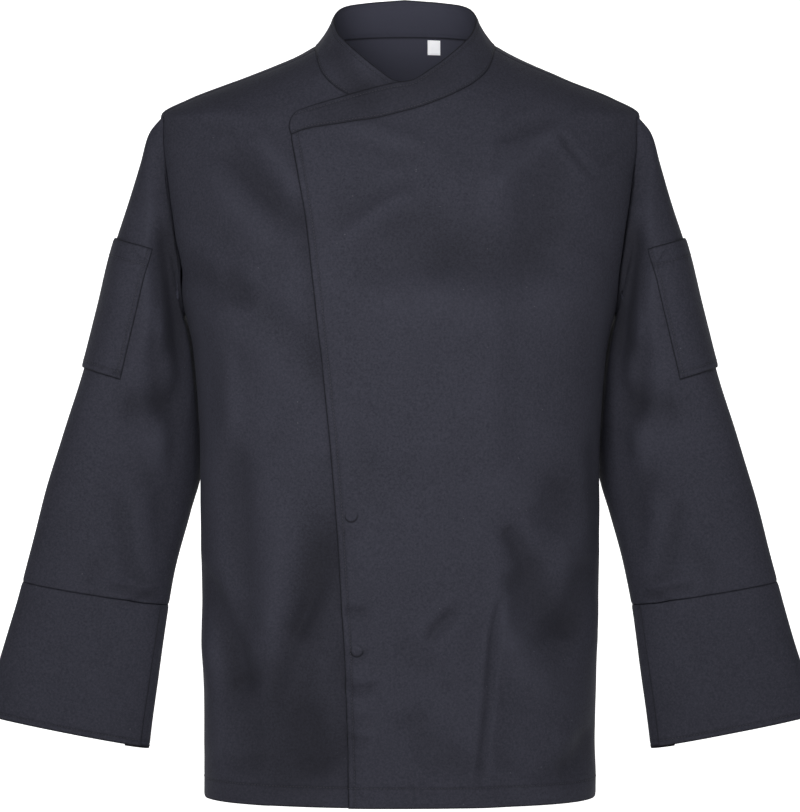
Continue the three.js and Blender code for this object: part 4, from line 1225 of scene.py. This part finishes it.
def cloth_material(name, twill, sewing, lint, marks=None):
    """Washed polyester and cotton twill: two close tones that drift, with painted shade in the
    hollows of creases, in stitch grooves, at edges and round snap marks, painted light on ridges
    and on the inside, twill ribs, stitch pull, lint and a low sheen."""
    material, tree, shader = new_material(name)
    place = object_place(tree)
    weave = use(tree, twill, {"Pattern": pattern_place(tree)})
    sewn_at = {"Distance": attribute(tree, "stitched"), "Run": attribute(tree, "run")}
    sewn = use(tree, sewing, sewn_at | {"Groove": 0.8, "Pucker": 2.4})
    specks = use(tree, lint, {"Place": place})
    drift = noise(tree, place, 9.0, 4.0, 0.6)
    grain = noise(tree, place, 450.0, 2.0, 0.8)
    shade_depth = attribute(tree, "shade_depth")

    tone = maths(tree, "MULTIPLY_ADD", maths(tree, "SUBTRACT", grain, 0.5), 3.0, drift)
    colour = blend_colour(tree, tone, NAVY_DARK, NAVY_LIGHT)
    for share, other in (
        (maths(tree, "MULTIPLY", weave["Shade"], 0.18), NAVY_LIGHT),
        # Painted shade in the stitch grooves.
        (maths(tree, "MULTIPLY", sewn["Mask"], 0.25), NAVY_GROOVE_SHADE),
        (maths(tree, "MULTIPLY", specks["Mask"], 0.2), LINT_GREY),
        # Painted shade in the hollows of creases and where tone tables darken; painted light on
        # ridges and where they lighten.
        (ramp(tree, shade_depth, 0.0, 15.0, 0.0, 0.55), NAVY_PAINTED_SHADE),
        (ramp(tree, shade_depth, 0.0, -10.0, 0.0, 0.3), NAVY_PAINTED_LIGHT),
        # Painted light: the inside of every piece is coloured lighter.
        (maths(tree, "MULTIPLY", attribute(tree, "reverse"), 0.9), NAVY_INSIDE_PAINTED_LIGHT),
        # Painted shade along edges and seams.
        (attribute(tree, "edge_shade"), NAVY_EDGE_SHADE),
    ):
        colour = blend_colour(tree, share, colour, other)
    height = maths(tree, "MULTIPLY", sewn["Height"], 0.55)
    for x, z in SNAP_MARKS if marks else ():
        mark = use(tree, marks, {"Place": place, "X": x, "Z": z})
        height = maths(tree, "MULTIPLY_ADD", mark["Height"], 0.7, height)
        # Painted shadow round each snap mark, darkest below it.
        edge_shade = maths(tree, "MULTIPLY", mark["Rim shadow"], 0.85)
        colour = blend_colour(tree, edge_shade, colour, NAVY_PAINTED_SHADE)
    tree.links.new(colour, shader.inputs["Base Color"])
    tree.links.new(maths(tree, "MULTIPLY_ADD", drift, 0.12, 0.76), shader.inputs["Roughness"])

    folds = noise(tree, place, 13.0, 3.0, 0.55, 0.5, "RIDGED_MULTIFRACTAL")
    for rise, share in (
        (noise(tree, place, 38.0, 5.0, 0.62), 0.8),
        (folds, 2.4),
        (weave["Height"], 0.035),
        (grain, 0.12),
    ):
        height = maths(tree, "MULTIPLY_ADD", rise, share, height)
    roughen(tree, shader, 0.75, 0.001, height)
    shader.inputs["Specular IOR Level"].default_value = 0.16
    shader.inputs["Sheen Weight"].default_value = 0.03
    shader.inputs["Sheen Roughness"].default_value = 0.5
    shader.inputs["Sheen Tint"].default_value = (0.75, 0.78, 1.0, 1)
    return material


def thread_material():
    """Navy sewing thread: a plied twist that shows as fine slanting bands."""
    material, tree, shader = new_material("navy thread")
    inputs = {"Vector": object_place(tree), "Scale": 700.0, "Distortion": 1.5}
    bands = add(tree, "TexWave", inputs, bands_direction="DIAGONAL").outputs["Fac"]
    colour = blend_colour(tree, bands, THREAD_DARK, THREAD_LIGHT)
    tree.links.new(colour, shader.inputs["Base Color"])
    shader.inputs["Roughness"].default_value = 0.55
    return material


def label_material(twill):
    """White woven tape, bare; it glows a little, painted light that brightens it in the shade of
    the neck.
    """
    material, tree, shader = new_material("white tape")
    place = object_place(tree)
    weave = use(tree, twill, {"Pattern": pattern_place(tree), "Threads per metre": 1500.0})
    drift = noise(tree, place, 150.0, 3.0)
    colour = blend_colour(tree, drift, (0.74, 0.74, 0.76, 1), (0.86, 0.86, 0.87, 1))
    shade = maths(tree, "MULTIPLY", weave["Shade"], 0.15)
    colour = blend_colour(tree, shade, colour, (0.6, 0.6, 0.62, 1))
    tree.links.new(colour, shader.inputs["Base Color"])
    roughen(tree, shader, 0.5, 0.0002, weave["Height"])
    shader.inputs["Roughness"].default_value = 0.6
    # Painted light: the tape glows though it is no lamp.
    shader.inputs["Emission Color"].default_value = (0.95, 0.96, 1, 1)
    shader.inputs["Emission Strength"].default_value = 0.35
    return material


def snap_material():
    """Dark lacquered brass, worn a little lighter in fine scratches."""
    material, tree, shader = new_material("lacquered snap")
    wear = noise(tree, object_place(tree), 500.0, 6.0, 0.7)
    colour = blend_colour(tree, wear, (0.05, 0.05, 0.058, 1), (0.14, 0.14, 0.15, 1))
    tree.links.new(colour, shader.inputs["Base Color"])
    tree.links.new(maths(tree, "MULTIPLY_ADD", wear, 0.3, 0.25), shader.inputs["Roughness"])
    roughen(tree, shader, 0.3, 0.0001, wear)
    shader.inputs["Metallic"].default_value = 0.85
    return material


def backdrop_material():
    """White paper whose glow falls off where the floor comes forward under the jacket."""
    material, tree, shader = new_material("white backdrop")
    place = object_place(tree)
    faint = noise(tree, place, 0.6, 1.0)
    tone = blend_colour(tree, faint, (0.9, 0.9, 0.9, 1), (0.918, 0.918, 0.918, 1))
    tree.links.new(tone, shader.inputs["Base Color"])
    shader.inputs["Roughness"].default_value = 0.9
    shader.inputs["Emission Color"].default_value = (1, 1, 1, 1)
    back = add(tree, "SeparateXYZ", {0: place}).outputs[1]
    glow = ramp(tree, back, 0.2, 1.1, 0.15, 0.95)
    tree.links.new(glow, shader.inputs["Emission Strength"])
    return material


# Camera, light and backdrop

camera = bpy.data.objects.new("camera", bpy.data.cameras.new("camera"))
bpy.context.scene.collection.objects.link(camera)
rise = math.radians(CAMERA_ELEVATION)
camera.location = (
    CAMERA_AIM[0],
    CAMERA_AIM[1] - CAMERA_DISTANCE * math.cos(rise),
    CAMERA_AIM[2] + CAMERA_DISTANCE * math.sin(rise),
)
camera.rotation_euler = (math.pi / 2 - rise, 0.0, 0.0)
camera.data.sensor_width = 36.0
camera.data.lens = 36.0 * CAMERA_DISTANCE / FRAME_HEIGHT
bpy.context.scene.camera = camera


def area_light(name, place, aim, size, power, spread=180.0):
    lamp = bpy.data.lights.new(name, "AREA")
    lamp.shape, lamp.size, lamp.size_y, lamp.energy = "RECTANGLE", size[0], size[1], power
    lamp.spread = math.radians(spread)
    made = bpy.data.objects.new(name, lamp)
    bpy.context.scene.collection.objects.link(made)
    made.visible_camera = False
    made.location = place
    away = np.array(place) - np.array(aim)
    flat = math.hypot(away[0], away[1])
    made.rotation_euler = (math.atan2(flat, away[2]), 0.0, math.atan2(away[0], -away[1]))


# Name, place, aim, size in metres, power in watts and spread in degrees.
area_light("key", (-0.12, -1.15, -0.02), (0, 0, -0.3), (0.6, 0.6), 9.4)
area_light("fill", (1.5, -1.7, -0.25), (0, 0, -0.4), (0.7, 1.4), 2.6)
area_light("left strip", (-1.9, -1.3, -0.3), (0, 0, -0.4), (0.6, 1.4), 1.3)
area_light("neck", (0.08, -2.5, 0.1), (0.0, 0.06, 0.032), (0.3, 0.3), 0.025, 8.0)

bpy.context.scene.view_settings.view_transform = "Standard"

world = bpy.data.worlds.new("studio")
world.use_nodes = True
world.node_tree.nodes["Background"].inputs[0].default_value = (1, 1, 1, 1)
world.node_tree.nodes["Background"].inputs[1].default_value = 0.14
bpy.context.scene.world = world

# The backdrop runs level along y, then up a quarter circle into a wall.
FLOOR_HEIGHT = -0.93
FLOOR_FRONT, FLOOR_BACK, FLOOR_SIDE = -8.0, 5.5, 9.0
BEND = 2.5  # radius
turn = np.linspace(0.1, 1.5708, 16)
level_y = np.linspace(FLOOR_FRONT, FLOOR_BACK, 10)
run_y = np.concatenate([level_y, FLOOR_BACK + BEND * np.sin(turn), np.full(8, FLOOR_BACK + BEND)])
run_z = np.concatenate([np.zeros(10), BEND - BEND * np.cos(turn), np.linspace(2.9, 8, 8)])
floor_x = np.linspace(-FLOOR_SIDE, FLOOR_SIDE, 12)
floor_grid = np.broadcast_arrays(floor_x[None], run_y[:, None], FLOOR_HEIGHT + run_z[:, None])
floor_points = np.stack(floor_grid, axis=-1).reshape(-1, 3)
backdrop_faces = strips(np.arange(len(floor_points)).reshape(-1, len(floor_x)))
backdrop_mesh = bpy.data.meshes.new("backdrop")
backdrop_mesh.from_pydata(floor_points.tolist(), [], backdrop_faces.tolist())
backdrop_mesh.shade_smooth()
backdrop_mesh.materials.append(backdrop_material())
backdrop = bpy.data.objects.new("backdrop", backdrop_mesh)
bpy.context.scene.collection.objects.link(backdrop)

# The jacket

twill, sewing, lint = twill_group(), sewing_group(), lint_group()
navy = cloth_material("navy twill", twill, sewing, lint)
marked_navy = cloth_material("navy twill over snaps", twill, sewing, lint, snap_mark_group())
# Tables whose creases give each piece its painted shade and painted light.
BODY_HOLLOWS = (BODY_CREASES, FINE_BODY_CREASES)
SLEEVE_HOLLOWS = (SLEEVE_CREASES, FINE_SLEEVE_CREASES)
stitch_rows = []
pieces = []


def sewn(points, distance, value, axis, skip=(4.0, 4.0)):
    """Adds a stitch row to the jacket and returns its distance and run for the cloth. The
    distance grows, or falls, along the axis."""
    if np.take(distance, 0, axis).mean() > np.take(distance, -1, axis).mean():
        line = line_at(np.flip(points, axis), np.flip(distance, axis), value, axis, flipped=True)
    else:
        line = line_at(points, distance, value, axis)
    stitch_rows.append(stitch_row(line, skip))
    return distance - value, run_across(points, 1 - axis)


def add_piece(node, points, creases=(), lines=(), free="", shade=1.0, **kind):
    """Notes a piece for joining and making. Its hollows are how deep the given creases press
    it in, in millimetres, times the shade; free names its edges that no seam closes. Its kind
    says whether it wraps round, its wall and material, where they aren't the usual ones. The
    slot that it may also carry is not used."""
    side = 1.0 if points[..., 0].mean() > -150 else -1.0
    upright = points * np.array([side, 1.0, 1.0])
    # The shade depth is used only as painted shade in the cloth's colour, and as painted light
    # below nought; the shade factor scales it.
    shade_depth = np.zeros(points.shape[:2])
    for rows in creases:
        shade_depth += crease_depth(rows, upright, 4.0, 30.0)
    usual = dict(wrap=False, wall=WALL, material=navy, slot="cloth")
    own = dict(node=node, points=points, shade_depth=shade_depth * shade, lines=lines, free=free.split())
    pieces.append(usual | own | kind)


def from_right(points):
    return run_across(points[:, ::-1])[:, ::-1]


def from_top(points):
    return run_across(points[::-1], 0)[::-1]


panel_rows = ticks(2.8, (ARMPIT_ROW, 480.0), (1 - ARMPIT_ROW, 200.0))
front_columns = ticks(3.2, (NECK_COLUMN, 190.0), (1 - NECK_COLUMN, 130.0))
back_columns = ticks(3.6, (TIP_COLUMN, 165.0), (1 - 2 * TIP_COLUMN, 200.0), (TIP_COLUMN, 165.0))

level, angle = front_panel(over_edge, 1.0, panel_rows, front_columns)
over = lean(body_cloth(level, angle, over_lift))
lines = [
    sewn(over, run_across(over), EDGE_STITCH, 1, (2.0, 2.0)),
    sewn(over, run_across(over, 0), HEM_STITCH, 0, (1.0, 3.0)),
]
hollows = BODY_HOLLOWS + (FRONT_PAINTED_LIGHT_AND_SHADE,)
add_piece("front_left", over, hollows, lines, "left bottom", material=marked_navy)

level, angle = front_panel(lambda z: -under_edge(z), UNDER_END_ALONG, panel_rows, front_columns)
under = lean(body_cloth(level, -angle, no_lift))[:, ::-1]
lines = [sewn(under, run_across(under, 0), HEM_STITCH, 0, (3.0, 1.0))]
add_piece("front_right", under, hollows + (UNDER_PAINTED_SHADE,), lines, "right bottom")

level, angle = back_panel(panel_rows, back_columns)
behind = lean(body_cloth(level, angle, no_lift))
lines = [sewn(behind, run_across(behind, 0), HEM_STITCH, 0)]
add_piece("back", behind, BODY_HOLLOWS, lines, "bottom")

collar_ticks = ticks(2.6, (0.36, 225.0), (0.3, 200.0), (0.34, 215.0))
ends = [1.0, SHOULDER_ALONG, -SHOULDER_ALONG, -UNDER_END_ALONG]
signed = np.interp(collar_ticks, [0.0, 0.36, 0.66, 1.0], ends)
band = lean(collar_points(signed, ticks(2.2, (1.0, 40.0))))
lines = [
    sewn(band, run_across(band, 0), COLLAR_FOOT_STITCH, 0),
    sewn(band, from_top(band), COLLAR_TOP_STITCH, 0),
]
add_piece("collar", band, (COLLAR_PAINTED_SHADE,), lines, "top left right bottom")

for side, word in ((1, "left"), (-1, "right")):
    surface = sleeve_surface(side)
    along = CUFF_START * (1.0 - ticks(3.4, (1.0, 520.0))) ** 1.15
    tube = surface(along[:, None], np.arange(120)[None, :] * 0.2)
    # The sleeves' painted shade and painted light are made 2.2 times as strong.
    add_piece(f"sleeve_{word}", to_side(tube, side), SLEEVE_HOLLOWS, wrap=True, shade=2.2)

    ring = cuff_points(surface, ticks(3.2, (1.0, 140.0)), ticks(3.2, (1.0, 390.0)))
    ring = to_side(ring, side)
    lines = [sewn(ring, run_across(ring, 0), CUFF_STITCH, 0)]
    add_piece(f"cuff_{word}", ring, SLEEVE_HOLLOWS, lines, "bottom left right")

    plain = sleeve_surface(side, False)
    rows, columns = ticks(3.0, (1.0, POCKET_LENGTH)), ticks(3.0, (1.0, POCKET_WIDTH))
    flat = to_side(pocket_points(surface, plain, rows, columns), side)
    flat = flat + POCKET_LIFT * grid_normals(flat, False)
    lines = [
        sewn(flat, run_across(flat, 0), POCKET_FOOT_STITCH, 0),
        sewn(flat, from_top(flat), POCKET_HEM_STITCH, 0),
        sewn(flat, run_across(flat), POCKET_SIDE_STITCH, 1),
        sewn(flat, from_right(flat), POCKET_SIDE_STITCH, 1),
    ]
    add_piece(f"pocket_{word}", flat, SLEEVE_HOLLOWS, lines, "bottom top left right")

tape = lean(label_points(ticks(1.5, (1.0, 13.5)), ticks(1.5, (1.0, 13.0))))
add_piece("label", tape, wall=1.0, material=label_material(twill), slot="label")

join_seams(pieces)
for piece in pieces:
    node = piece["node"]
    made = shell(node + "_cloth", piece)
    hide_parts(node)

stitches("stitching", stitch_rows, thread_material())

snap_finish = snap_material()
for i in range(1, 6):
    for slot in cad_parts[f"snap_{i}"].material_slots:
        slot.material = snap_finish
